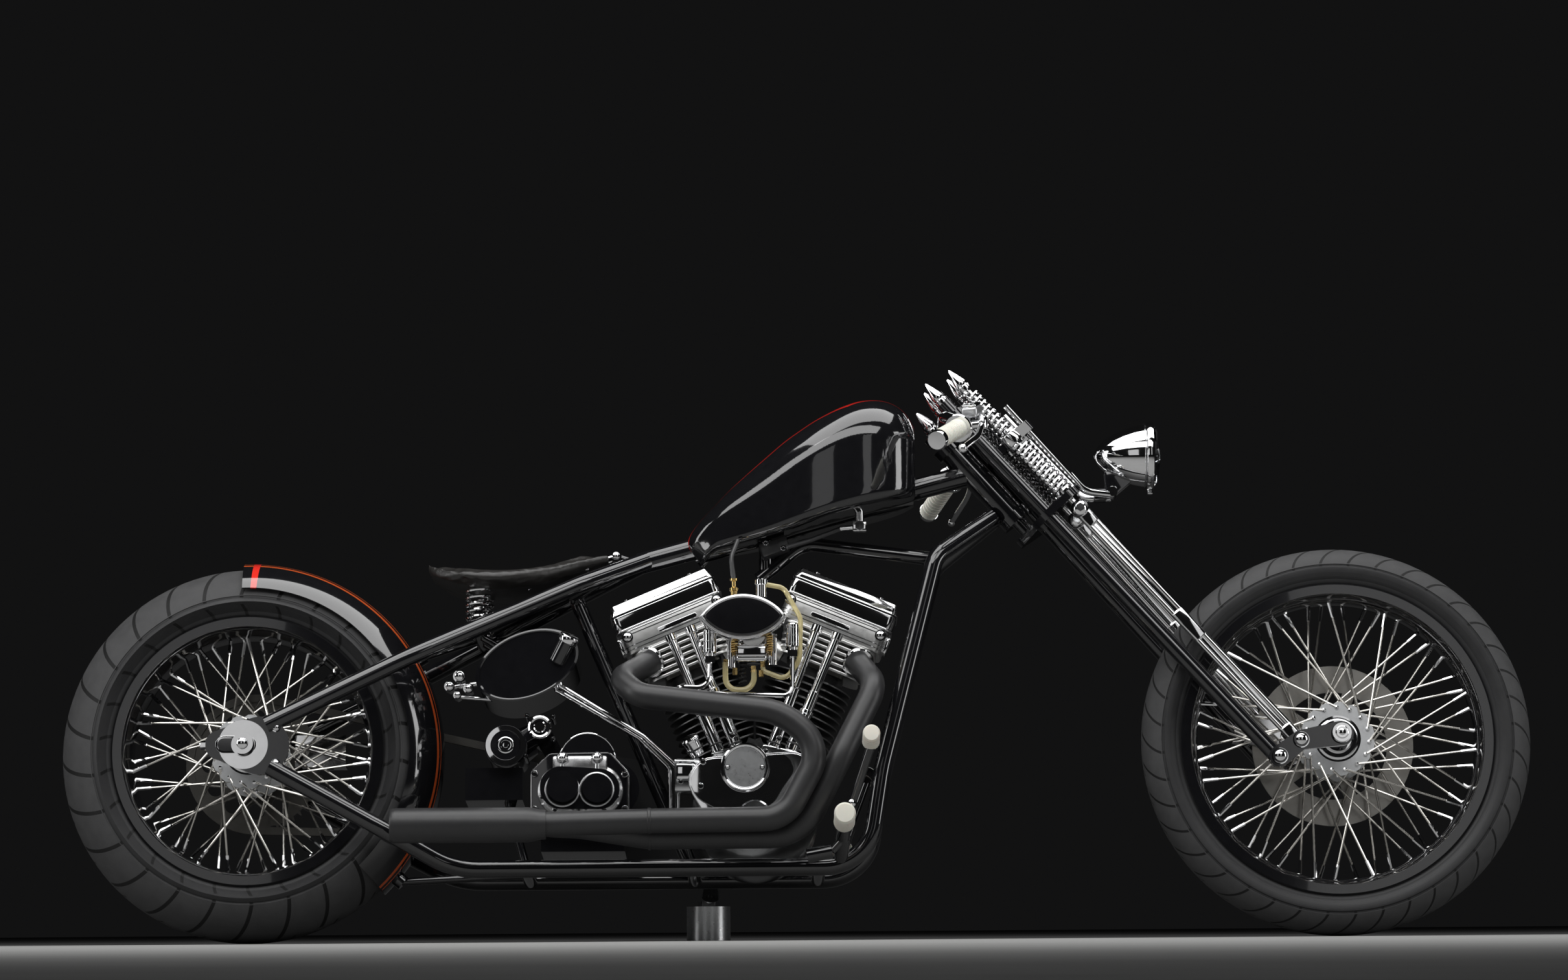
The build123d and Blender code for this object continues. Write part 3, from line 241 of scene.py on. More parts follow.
def bar(start, end, radius, tip=None, sides=12):
    """Round bar from point to point, tapered to tip if given."""
    bm = bmesh.new()
    length = (Vector(end) - Vector(start)).length
    bmesh.ops.create_cone(bm, cap_ends=True, segments=sides, radius1=radius,
                          radius2=radius if tip is None else tip, depth=length)
    bmesh.ops.transform(bm, matrix=toward(start, end) @ moved(0, 0, length / 2), verts=bm.verts)
    return bm


def turned(profile, steps=32, closed=False):
    """Section of (radius, height) points, spun about Z.

    An entry of four values is an arc: centre radius, centre height, degrees and steps."""
    bm = bmesh.new()
    first = tip = None
    for entry in profile:
        if len(entry) == 4:
            arc = bmesh.ops.spin(bm, geom=[tip], cent=(entry[0], 0, entry[1]), axis=(0, -1, 0),
                                 angle=math.radians(entry[2]), steps=entry[3])
            tip = corners(arc["geom_last"])[0]
            continue
        spot = bm.verts.new((entry[0], 0, entry[1]))
        if tip:
            bm.edges.new((tip, spot))
        first, tip = first or spot, spot
    if closed:
        bm.edges.new((tip, first))
    return spun(bm, steps)


def ring(radius, wire, steps=40, sides=8):
    """Round-wire ring about Z."""
    bm = bmesh.new()
    bmesh.ops.create_circle(bm, segments=sides, radius=wire)
    bmesh.ops.transform(bm, matrix=moved(radius, 0, 0) @ RIGHT, verts=bm.verts)
    return spun(bm, steps)


def coil(start, end, radius, wire, turns, steps=16, sides=7):
    """Round-wire spring between two points."""
    bm = bmesh.new()
    length = (Vector(end) - Vector(start)).length - 2 * wire
    bmesh.ops.create_circle(bm, segments=sides, radius=wire)
    bmesh.ops.transform(bm, matrix=moved(radius, 0, wire) @ RIGHT, verts=bm.verts)
    count = int(steps * turns)
    bmesh.ops.spin(bm, geom=bm.verts[:] + bm.edges[:], cent=(0, 0, 0), axis=(0, 0, 1),
                   angle=2 * math.pi * turns, steps=count, dvec=(0, 0, length / count))
    bmesh.ops.holes_fill(bm, edges=[e for e in bm.edges if e.is_boundary])
    bmesh.ops.recalc_face_normals(bm, faces=bm.faces)
    bmesh.ops.transform(bm, matrix=toward(start, end), verts=bm.verts)
    return bm


def tube(points, radius, bend, sides=12):
    """Bent tube: straight runs are extruded and corners spun."""
    bm = bmesh.new()
    spots = [Vector(p) for p in points]
    bends = bend if isinstance(bend, (list, tuple)) else [bend] * (len(spots) - 2)
    bmesh.ops.create_circle(bm, segments=sides, radius=radius)
    bmesh.ops.transform(bm, matrix=toward(spots[0], spots[1]), verts=bm.verts)
    lip, here = bm.edges[:], spots[0]

    def run(lip, by):
        made = bmesh.ops.extrude_edge_only(bm, edges=lip)["geom"]
        bmesh.ops.translate(bm, vec=by, verts=corners(made))
        return [e for e in lines(made) if e.is_boundary]

    for before, corner, after, radius_here in zip(spots, spots[1:], spots[2:], bends):
        u, v = (corner - before).normalized(), (after - corner).normalized()
        turn = u.angle(v)
        back = radius_here * math.tan(turn / 2)
        lip = run(lip, corner - u * back - here)
        axis = u.cross(v).normalized()
        bent = bmesh.ops.spin(bm, geom=lip + list({w for e in lip for w in e.verts}), axis=axis, angle=turn,
                              cent=corner - u * back + axis.cross(u) * radius_here,
                              steps=max(3, round(turn * 7)))
        lip, here = lines(bent["geom_last"]), corner + v * back
    run(lip, spots[-1] - here)
    bmesh.ops.remove_doubles(bm, verts=bm.verts, dist=0.001)
    bmesh.ops.holes_fill(bm, edges=[e for e in bm.edges if e.is_boundary])
    bmesh.ops.recalc_face_normals(bm, faces=bm.faces)
    return bm


def block(size, round_by=2.0, segments=2):
    """Box with rounded edges."""
    bm = bmesh.new()
    bmesh.ops.create_cube(bm, size=1.0)
    bmesh.ops.scale(bm, vec=size, verts=bm.verts)
    bmesh.ops.bevel(bm, geom=bm.edges[:], offset=round_by, segments=segments, profile=0.5, affect="EDGES",
                    material=-1, clamp_overlap=True)
    return bm


def wrapped(bm, round_by):
    """Closes the points of a shape in their convex hull and rounds its level rims."""
    made = bmesh.ops.convex_hull(bm, input=bm.verts[:])
    spare = set(corners(made["geom_interior"] + made["geom_unused"]))
    bmesh.ops.delete(bm, geom=list(spare), context="VERTS")
    bmesh.ops.dissolve_limit(bm, angle_limit=0.01, verts=bm.verts, edges=bm.edges)
    if round_by:
        rims = [e for e in bm.edges if abs(e.verts[0].co.z - e.verts[1].co.z) < 1e-4]
        bmesh.ops.bevel(bm, geom=rims, offset=round_by, segments=3, profile=0.5, affect="EDGES", material=-1,
                        clamp_overlap=True)
    bmesh.ops.recalc_face_normals(bm, faces=bm.faces)
    return bm


def hull(*rounds, low, high, sides=24, inset=0.0, round_by=0.0):
    """Plate between two heights whose outline wraps rounds given as (x, y, radius)."""
    bm = bmesh.new()
    for x, y, radius in rounds:
        bmesh.ops.create_cone(bm, cap_ends=True, segments=sides, radius1=radius, radius2=radius - inset,
                              depth=high - low, matrix=moved(x, y, (low + high) / 2))
    return wrapped(bm, round_by)


def slab(length, width, corner, low, high, **more):
    """Plate with rounded corners between two heights."""
    x, y = length / 2 - corner, width / 2 - corner
    return hull(*[(i * x, j * y, corner) for i in SIDES for j in SIDES], low=low, high=high, **more)


def pointed(length, height, low, high, round_by=2.0):
    """Plate whose outline is an oval with pointed ends."""
    rise = height / 2
    radius = (length * length / 4 + rise * rise) / (2 * rise)
    bm = bmesh.new()
    tip = bm.verts.new((-length / 2, 0, low))
    bmesh.ops.spin(bm, geom=[tip], cent=(0, rise - radius, low), axis=(0, 0, -1),
                   angle=2 * math.asin(length / 2 / radius), steps=26)
    bmesh.ops.mirror(bm, geom=bm.verts[:] + bm.edges[:], matrix=Matrix(), merge_dist=0.01, axis="Y")
    top = bmesh.ops.duplicate(bm, geom=bm.verts[:])["geom"]
    bmesh.ops.translate(bm, vec=(0, 0, high - low), verts=corners(top))
    return wrapped(bm, round_by)


def ball(radius, rings=10):
    """Round ball."""
    bm = bmesh.new()
    bmesh.ops.create_uvsphere(bm, u_segments=2 * rings, v_segments=rings, radius=radius)
    return bm


def dome_nut(radius, height, steps=14):
    """Domed nut on a washer."""
    return turned([(0, 0), (radius * 1.35, 0), (radius * 1.35, height * 0.14), (radius, height * 0.16),
                   (radius, height * 0.5), (radius * 0.88, height * 0.76), (radius * 0.55, height * 0.94),
                   (0, height)], steps)


def cap_screw(radius, height, steps=12):
    """Round screw head with a socket."""
    return turned([(0, 0), (radius, 0), (radius, height * 0.85), (radius * 0.86, height),
                   (radius * 0.55, height), (radius * 0.5, height * 0.4), (0, height * 0.4)], steps)


class Shape:
    """A piece in the making, drawn in the machine's millimetres."""

    def __init__(self):
        self.bm, self.paints = bmesh.new(), []

    def add(self, part, paint, at=Matrix()):
        """Joins a modelled part to the piece in one finish."""
        if paint not in self.paints:
            self.paints.append(paint)
        for face in part.faces:
            face.material_index = self.paints.index(paint)
        bmesh.ops.transform(part, matrix=at, verts=part.verts)
        spare = bpy.data.meshes.new("spare")
        part.to_mesh(spare)
        part.free()
        self.bm.from_mesh(spare)
        bpy.data.meshes.remove(spare)
        return self

    def place(self, name, body, slot, replaced=()):
        """Puts the piece where it belongs and hands it to its body."""
        bmesh.ops.transform(self.bm, matrix=BIKE, verts=self.bm.verts)
        mesh = bpy.data.meshes.new(name)
        self.bm.to_mesh(mesh)
        self.bm.free()
        for paint in self.paints:
            mesh.materials.append(PAINTS[paint])
        mesh.shade_smooth()
        mesh.set_sharp_from_angle(angle=CREASE)
        piece = bpy.data.objects.new(name, mesh)
        bpy.context.scene.collection.objects.link(piece)
        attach(piece, body)
        if replaced:
            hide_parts(*replaced)
        return piece


# Finishes

def enamel(name, base, stripe=None):
    """Deep gloss enamel under clear coat, with an optional painted stripe."""
    f = Finish(name, Coat_Weight=1.0, Coat_Roughness=0.02, Specular_IOR_Level=0.4)
    colour = f.mix(f.noise(60, 3), shade(base, 0.8), tuple(c * 1.25 + 0.001 for c in base))
    if stripe:
        mask, paint = stripe(f)
        colour = f.mix(mask, colour, paint)
    f.feed(Base_Color=colour, Roughness=0.06 + f.noise(220, 2) * 0.06)
    return f.bump(f.noise(900, 2), 0.01, 0.0002).material


def tank_lines(f):
    """Thin line along each upper edge of the tank."""
    x, y, z = f.split(f.place(UPRIGHT))
    edge = (x * 0.21 - 0.1504).least(0.4008 - x * 0.30)
    return band(abs(y) - edge, 0.0, 0.006).least(z - x * 0.5 > 0.305), (0.55, 0.018, 0.012)


def fin_edges(name, at):
    """Black finned casting whose edges are cut bright."""
    f = Finish(name)
    x, y, _ = f.split(f.place(UPRIGHT @ at))
    bright = ((x * x + y * y).root() > 0.0774).most(abs(y) > 0.0696)
    cloud = f.noise(120, 3)
    f.feed(Base_Color=f.mix(bright, f.mix(cloud, (0.012, 0.012, 0.013), (0.03, 0.03, 0.031)),
                            (0.26, 0.26, 0.26)), Metallic=bright,
           Roughness=0.42 - bright * 0.12 + cloud * 0.1)
    return f.bump(f.noise(900, 2), 0.1, 0.0004).material


def fender_lines(f):
    """Lines along the fender and a band across its tail."""
    x, y, z = f.split(f.place(wheel_frame(0, REAR_Z)))
    tail = x.angle(z)
    along = band(abs(y), 0.046, 0.0035).most(band(abs(y), 0.034, 0.0014))
    across_tail = band(tail, 0.035, 0.018)
    return along.most(across_tail), f.mix(across_tail, (0.55, 0.09, 0.02), (0.72, 0.03, 0.02))


def metal(name, tint, rough, spread, grain, bump=0.0):
    """Bare or plated metal whose shine varies a little over the surface."""
    f = Finish(name, Metallic=1.0)
    smear = f.noise(grain, 4, 0.6)
    f.feed(Base_Color=f.mix(smear, shade(tint, 0.86), shade(tint, 1.06)),
           Roughness=rough + f.noise(grain * 2.3, 3) * spread)
    if bump:
        f.bump(f.noise(grain * 9, 3), bump, 0.0004)
    return f.material


def tyre_rubber(name, axle_x, axle_z, outer, crown, cuts, skew):
    """Matt road rubber with curved tread cuts, painted near black as painted shade in the grooves, and fine
    rings on the walls.
    """
    f = Finish(name, Specular_IOR_Level=0.35)
    x, y, z = f.split(f.place(wheel_frame(axle_x, axle_z)))
    radius = (x * x + z * z).root()
    side = y / crown
    turn = x.angle(z) * (cuts / (2 * math.pi)) + abs(side) * skew + (y > 0.0) * 0.5
    reach = (abs(side) > 0.16).least(abs(side) < 0.90)
    cut = band(turn.fraction(), 0.5, 0.05).least(reach).least(radius > outer - crown * 0.9)
    centre = band(turn.fraction(), 0.1, 0.03).least(abs(side) < 0.2).least(radius > outer - crown * 0.4)
    cut = cut.most(centre)
    wall = radius < outer - crown * 0.60
    ring = ((radius * 900.0).sine() > 0.55).least(wall) * 0.35
    wear = f.noise(42, 4, 0.6)
    rubber = f.mix(wall, f.mix(wear, (0.034, 0.034, 0.035), (0.064, 0.064, 0.065)),
                   f.mix(wear, (0.016, 0.016, 0.017), (0.030, 0.030, 0.031)))
    # the tread cuts are painted near black (0.002): painted shade in the grooves, on top of their bump
    f.feed(Base_Color=f.mix(cut, rubber, (0.002, 0.002, 0.002)), Roughness=0.58 - wall * 0.14 + wear * 0.2)
    return f.bump(f.noise(700, 2) * 0.12 - cut * 1.2 + ring, 0.8, 0.002).material


def satin(name, base, rough, grain=300):
    """Even satin coating."""
    f = Finish(name)
    cloud = f.noise(grain * 0.2, 3)
    f.feed(Base_Color=f.mix(cloud, shade(base, 0.8), shade(base, 1.2)),
           Roughness=rough - 0.05 + f.noise(grain * 0.5, 3) * 0.12)
    return f.bump(f.noise(grain * 4, 2), 0.08, 0.0003).material


def leather(name, base):
    """Smooth saddle leather with a fine pebble grain."""
    f = Finish(name, Specular_IOR_Level=0.45)
    cells = f.node("ShaderNodeTexVoronoi", {"feature": "DISTANCE_TO_EDGE"},
                   {"Vector": f.place(), "Scale": 420.0})
    folds = f.noise(38, 4, 0.6)
    f.feed(Base_Color=f.mix(folds, shade(base, 0.7), shade(base, 1.4)), Roughness=0.24 + folds * 0.20)
    return f.bump(cells.least(0.3) * 1.2 + folds * 0.6, 0.25, 0.0008).material


def moulded(name, base, rough):
    """Moulded cream grip material with faint mottling."""
    f = Finish(name, Subsurface_Weight=0.08)
    cloud = f.noise(55, 4, 0.6)
    f.feed(Base_Color=f.mix(cloud, shade(base, 0.9), shade(base, 1.06)),
           Roughness=rough + f.noise(180, 3) * 0.12)
    return f.bump(f.noise(600, 2), 0.06, 0.0004).material


def turned_metal(name, tint, at):
    """Billet with fine rings from the lathe about the third axis of a frame."""
    f = Finish(name, Metallic=1.0)
    x, y, z = f.split(f.place(at))
    ring = ((x * x + y * y).root() * 5200.0).sine() + (z * 7000.0).sine()
    f.feed(Base_Color=f.mix(f.noise(30), shade(tint, 0.88), tint), Roughness=0.24 + f.noise(160) * 0.1)
    return f.bump(ring, 0.1, 0.0003).material


def lamp_glass(name):
    """Clear glass with a little haze."""
    f = Finish(name, Transmission_Weight=1.0, IOR=1.45, Coat_Weight=0.2)
    haze = f.noise(120, 2)
    f.feed(Base_Color=f.mix(haze, (0.92, 0.94, 0.95), (1.0, 1.0, 1.0)), Roughness=0.02 + haze * 0.03)
    return f.material


def clear_hose(name, tint):
    """Clear hose tinted by what is in it."""
    f = Finish(name, Transmission_Weight=0.6, IOR=1.4)
    haze = f.noise(90, 2)
    f.feed(Base_Color=f.mix(haze, tint, shade(tint, 1.3)), Roughness=0.12 + haze * 0.1)
    return f.material


class ChopperColours(bpy.types.PropertyGroup):
    """Colours a user would change."""
    enamel: FloatVectorProperty(name="Enamel", description="Gloss paint of the frame and tank",
                                subtype="COLOR", default=(0.006, 0.006, 0.007))
    chrome: FloatVectorProperty(name="Chrome", description="Plated parts", subtype="COLOR",
                                default=(0.86, 0.86, 0.87))
    polished: FloatVectorProperty(name="Polished alloy", description="Engine and gearbox cases",
                                  subtype="COLOR", default=(0.74, 0.75, 0.76))
    cast: FloatVectorProperty(name="Cast alloy", description="Finned castings", subtype="COLOR",
                              default=(0.76, 0.76, 0.75))
    steel: FloatVectorProperty(name="Bright steel", description="Spokes and discs", subtype="COLOR",
                               default=(0.62, 0.60, 0.56))
    brass: FloatVectorProperty(name="Brass", description="Carburettor fittings", subtype="COLOR",
                               default=(0.78, 0.55, 0.22))
    pipe: FloatVectorProperty(name="Pipe coating", description="Satin exhaust", subtype="COLOR",
                              default=(0.018, 0.018, 0.019))
    plastic: FloatVectorProperty(name="Black moulding", description="Electrics and small covers",
                                 subtype="COLOR", default=(0.02, 0.02, 0.021))
    leather: FloatVectorProperty(name="Saddle leather", description="Seat cover", subtype="COLOR",
                                 default=(0.018, 0.017, 0.016))
    cream: FloatVectorProperty(name="Cream rubber", description="Grips and pegs", subtype="COLOR",
                               default=(0.82, 0.79, 0.70))
    fuel: FloatVectorProperty(name="Fuel hose", description="Clear amber hose", subtype="COLOR",
                              default=(0.82, 0.70, 0.40))


class ChopperSizes(bpy.types.PropertyGroup):
    """Counts and sizes of the fine pieces, in millimetres."""
    spokes: IntProperty(name="Spokes", description="Spokes on each side of a wheel", default=30)
    spoke_radius: FloatProperty(name="Spoke radius", description="Radius of the spoke wire in millimetres",
                                default=2.1)
    fin_thickness: FloatProperty(name="Fin thickness", description="Cooling fins, in millimetres",
                                 default=3.6)
    saddle_swell: FloatProperty(name="Saddle swell",
                                description="Furthest a point of the saddle moves, in millimetres",
                                default=6.0)


class ChopperStage(bpy.types.PropertyGroup):
    """Camera and light."""
    distance: FloatProperty(name="Camera distance", description="From the middle of the machine",
                            unit="LENGTH", default=10.434)
    height: FloatProperty(name="Camera height", description="Above the floor", unit="LENGTH", default=0.02)
    lens: FloatProperty(name="Lens", description="Focal length in millimetres", default=132.3)
    tilt: FloatProperty(name="Tilt", description="Camera looks up by this much", subtype="ANGLE",
                        default=math.radians(4.355))
    roll: FloatProperty(name="Roll", description="Camera turned about its view", subtype="ANGLE",
                        default=math.radians(-0.427))
    aim: FloatProperty(name="Aim", description="Camera's place along the machine", unit="LENGTH",
                       default=-0.0195)
    backdrop: FloatProperty(name="Backdrop", description="Grey of the studio", default=0.006)
    key: FloatProperty(name="Key light", description="Watts of the overhead panel", default=150.0)


CADNODES = {
    "enamel": ("frame_spine", "frame_cradle", "frame_stays", "frame_seat_post", "frame_cross_tubes",
               "fender_struts", "oil_tank", "electrics_box", "gearbox", "starter", "spring_yoke",
               "foot_controls", "fork_rear_legs", "fork_rockers", "rear_rim", "front_rim", "fork_trees",
               "stand_lug"),
    "tank": ("fuel_tank",),
    "fender": ("rear_fender",),
    "chrome": ("rocker_covers", "pushrod_tubes", "cam_cover", "fork_front_legs", "fork_bullets",
               "fork_springs", "handlebar", "levers", "headlamp", "lamp_bracket", "seat_springs", "oil_lines",
               "rear_axle", "front_axle", "tank_cap", "oil_filler_cap", "side_stand", "rear_caliper",
               "front_caliper"),
    "polished": ("crankcase", "carburettor"),
    "cast": ("cylinders", "cylinder_heads"),
    "steel": ("rear_hub", "front_hub"),
    "disc_steel": ("front_rotor",),
    # steel darkened to a fifth: painted shade, as the sprocket sits in the machine's shadow; the drive chain
    # shares it
    "dark_and_shaded_steel": ("rear_sprocket", "drive_chain"),
    "rear_rubber": ("rear_tyre",),
    "front_rubber": ("front_tyre",),
    "pipe": ("exhaust_pipes", "muffler", "primary_cover"),
    "plastic": ("air_cleaner",),
    "leather": ("seat",),
    "cream": ("grips", "foot_pegs"),
    "glass": ("headlamp_lens",),
    "billet": ("stand_puck",),
}
PAINTS = {}


def dress(node, paint):
    """Gives a carried-over node its finish."""
    mesh = frame["nodes"][node].data
    mesh.materials.clear()
    mesh.materials.append(PAINTS[paint])


class CHOPPER_OT_finishes(bpy.types.Operator):
    """Make the finishes and give every carried-over node its own"""
    bl_idname = "chopper.finishes"
    bl_label = "Finishes"

    def execute(self, context):
        c = {k: tuple(getattr(context.scene.chopper_colours, k)) for k in ChopperColours.__annotations__}
        puck = sum((Vector(p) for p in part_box("stand_puck")), Vector()) / 2
        PAINTS.update({
            "enamel": enamel("Gloss enamel", c["enamel"]),
            "tank": enamel("Tank enamel", c["enamel"], tank_lines),
            "fender": enamel("Fender enamel", c["enamel"], fender_lines),
            "chrome": metal("Chrome plate", c["chrome"], 0.03, 0.05, 26),
            "polished": metal("Polished alloy", c["polished"], 0.10, 0.10, 34, 0.05),
            "cast": metal("Cast alloy", c["cast"], 0.24, 0.16, 60, 0.12),
            "steel": metal("Bright steel", c["steel"], 0.16, 0.12, 90, 0.05),
            # steel darkened to a fifth: painted shade on the sprocket and on the head cores between the fins
            "dark_and_shaded_steel": metal("Dark steel and painted shade", shade(c["steel"], 0.2), 0.30, 0.15, 80, 0.08),
            "disc_steel": metal("Disc steel", shade(c["steel"], 0.55), 0.26, 0.12, 120, 0.08),
            "soft_chrome": metal("Soft chrome", c["chrome"], 0.20, 0.10, 60, 0.04),
            "brushed": metal("Brushed alloy", c["polished"], 0.34, 0.12, 140, 0.12),
            "front_fins": fin_edges("Front barrel", scaled(CYLINDERS["front"])),
            "rear_fins": fin_edges("Rear barrel", scaled(CYLINDERS["rear"])),
            "brass": metal("Brass", c["brass"], 0.14, 0.12, 60, 0.05),
            "rear_rubber": tyre_rubber("Rear tyre rubber", 0, REAR_Z, 0.3386, 0.104, 26, 0.75),
            "front_rubber": tyre_rubber("Front tyre rubber", WHEELBASE, FRONT_Z, 0.3506, 0.057, 40, 1.1),
            "pipe": satin("Pipe coating", c["pipe"], 0.40),
            "plastic": satin("Black moulding", c["plastic"], 0.34, 500),
            "leather": leather("Saddle leather", c["leather"]),
            "cream": moulded("Cream rubber", c["cream"], 0.28),
            "glass": lamp_glass("Lamp glass"),
            "hose": clear_hose("Fuel hose", c["fuel"]),
            "billet": turned_metal("Turned billet", c["polished"], Matrix.Translation(puck)),
            "cam_face": turned_metal("Turned cover", c["polished"],
                                     UPRIGHT @ scaled(moved(CAM_AT[0], 0, CAM_AT[1]) @ RIGHT)),
        })
        for paint, names in CADNODES.items():
            for node in names:
                dress(node, paint)
        return {"FINISHED"}


class CHOPPER_OT_studio(bpy.types.Operator):
    """Set up the floor, the lights and the camera"""
    bl_idname = "chopper.studio"
    bl_label = "Studio"

    def execute(self, context):
        s = context.scene.chopper_stage
        bm = bmesh.new()
        bmesh.ops.create_grid(bm, x_segments=1, y_segments=1, size=30)
        mesh = bpy.data.meshes.new("studio_floor")
        bm.to_mesh(mesh)
        bm.free()
        floor = bpy.data.objects.new("studio_floor", mesh)
        context.scene.collection.objects.link(floor)
        f = Finish("Studio floor")
        # the floor turns from pale in front of the machine to near black under and behind it: a painted
        # shadow of the machine on the floor
        painted_floor_shadow = (f.split(f.place())[1] * 1.4 + 0.6).most(0.0).least(1.0)
        pale = f.mix(f.noise(3, 4), (0.24, 0.24, 0.235), (0.28, 0.28, 0.275))
        f.feed(Base_Color=f.mix(painted_floor_shadow, pale, (0.022, 0.022, 0.022)), Roughness=0.7 + f.noise(8) * 0.1)
        mesh.materials.append(f.material)
        world = bpy.data.worlds.new("studio")
        world.use_nodes = True
        backdrop = (s.backdrop, s.backdrop, s.backdrop * 1.02, 1)
        world.node_tree.nodes["Background"].inputs["Color"].default_value = backdrop
        context.scene.world = world
        lights = (  # name, place, aimed at, size x, size y, watts
            ("overhead", (0.1, -0.5, 3.8), (0, 0.1, 0.3), 5.4, 2.4, s.key),
            ("near_high", (-0.7, -3.4, 3.8), (-0.1, 0, 0.5), 7.6, 1.7, s.key),
            ("rear_panel", (-1.95, -5.0, 1.8), (-0.9, 0, 0.4), 1.3, 2.0, s.key * 0.03),
            ("front_panel", (1.75, -5.0, 1.9), (0.8, 0, 0.5), 0.95, 2.2, s.key * 0.03),
            ("rear_strip", (-3.8, -1.2, 1.4), (-0.4, 0, 0.5), 0.9, 2.4, s.key * 0.2),
            ("front_strip", (3.8, -1.2, 1.4), (0.5, 0, 0.5), 0.9, 2.4, s.key * 0.2))
        for name, spot, aim, wide, deep, watts in lights:
            data = bpy.data.lights.new(name, "AREA")
            data.shape, data.size, data.size_y, data.energy = "RECTANGLE", wide, deep, watts
            lamp = bpy.data.objects.new(name, data)
            lamp.location = spot
            lamp.rotation_euler = (Vector(aim) - Vector(spot)).to_track_quat("-Z", "Y").to_euler()
            context.scene.collection.objects.link(lamp)
        data = bpy.data.cameras.new("photo_view")
        data.lens, data.sensor_width = s.lens, 36.0
        camera = bpy.data.objects.new("photo_view", data)
        camera.matrix_world = (moved(s.aim, -s.distance, s.height)
                               @ Matrix.Rotation(math.pi / 2 + s.tilt, 4, "X")
                               @ Matrix.Rotation(s.roll, 4, "Z"))
        context.scene.collection.objects.link(camera)
        context.scene.camera = camera
        context.scene.view_settings.view_transform = "Standard"
        return {"FINISHED"}


# Wheels

# Axle x and z, tyre radius, half width and crown radius, bead, rim half width, flange y, spoke y at the rim,
# and the two ends of the hub.
WHEELS = {
    "rear": (0.0, REAR_Z, 338.6, 100.0, 104.0, 228.6, 73.0, 60.0, 16.0, (-76.0, 111.5)),
    "front": (WHEELBASE, FRONT_Z, 350.6, 55.0, 57.0, 266.7, 40.0, 38.0, 10.0, (-55.0, 55.0))}
FLANGE_R, SPOKE_CIRCLE, CROWN_SWEEP = 64.0, 57.0, 64.0


def tyre(radius, half, crown, bead, rim_half):
    """Round-crowned road tyre with a rim guard ridge on each wall."""
    edge = math.radians(CROWN_SWEEP)
    edge_r, edge_y = radius - crown + crown * math.cos(edge), crown * math.sin(edge)
    wall = [(bead + 4, rim_half - 1), (bead + 16, rim_half), (bead + 21, rim_half + 4.5),
            (bead + 24, rim_half + 5), (bead + 27, rim_half + 9), ((edge_r + bead + 20) / 2 + 3, half - 1.2),
            (edge_r - 7, edge_y + 2.0), (edge_r - 5, edge_y - 0.4), (edge_r - 2.5, edge_y - 0.6),
            (edge_r - 1.5, edge_y + 0.6)]
    tread = [(edge_r, -edge_y), (radius - crown, 0, 2 * CROWN_SWEEP, 20)]
    return turned([(r, -y) for r, y in wall] + tread + wall[::-1], 120)


def rim(bead, half):
    """Deep drop-centre rim with rolled lips."""
    side = [(bead + 2, half - 1), (bead + 13, half + 0.6), (bead + 15.5, half + 3), (bead + 13, half + 5.6),
            (bead - 3, half + 6), (bead - 7, half + 1), (bead - 9, half - 12), (bead - 13, half * 0.6),
            (bead - 16, half * 0.42), (bead - 17, half * 0.2)]
    return turned(side + [(r, -y) for r, y in reversed(side)], 120, closed=True)


def flange(radius, thick, scallops):
    """Hub flange with a scalloped edge."""
    bm = bmesh.new()
    bmesh.ops.create_cone(bm, cap_ends=True, segments=scallops * 4, radius1=radius, radius2=radius,
                          depth=thick)
    dips = [v for v in bm.verts if round(math.atan2(v.co.y, v.co.x) / (2 * math.pi) * scallops * 4) % 4 == 0]
    bmesh.ops.scale(bm, vec=(0.94, 0.94, 1), verts=dips)
    return bm


def spoke_ends(row, side, index, count):
    """Both ends of one spoke of a wheel."""
    x, z, *_, bead, _, flange_y, rim_y, _ = row
    step = 2 * math.pi / count
    way = 1 if index % 2 else -1
    a = index * step + (step / 2 if side > 0 else 0)
    b = a + way * math.radians(50)
    near, far = SPOKE_CIRCLE, bead - 14
    return (Vector((x + near * math.sin(a), side * flange_y + way * 4.5, z + near * math.cos(a))),
            Vector((x + far * math.sin(b), side * rim_y + way * 4.5, z + far * math.cos(b))))


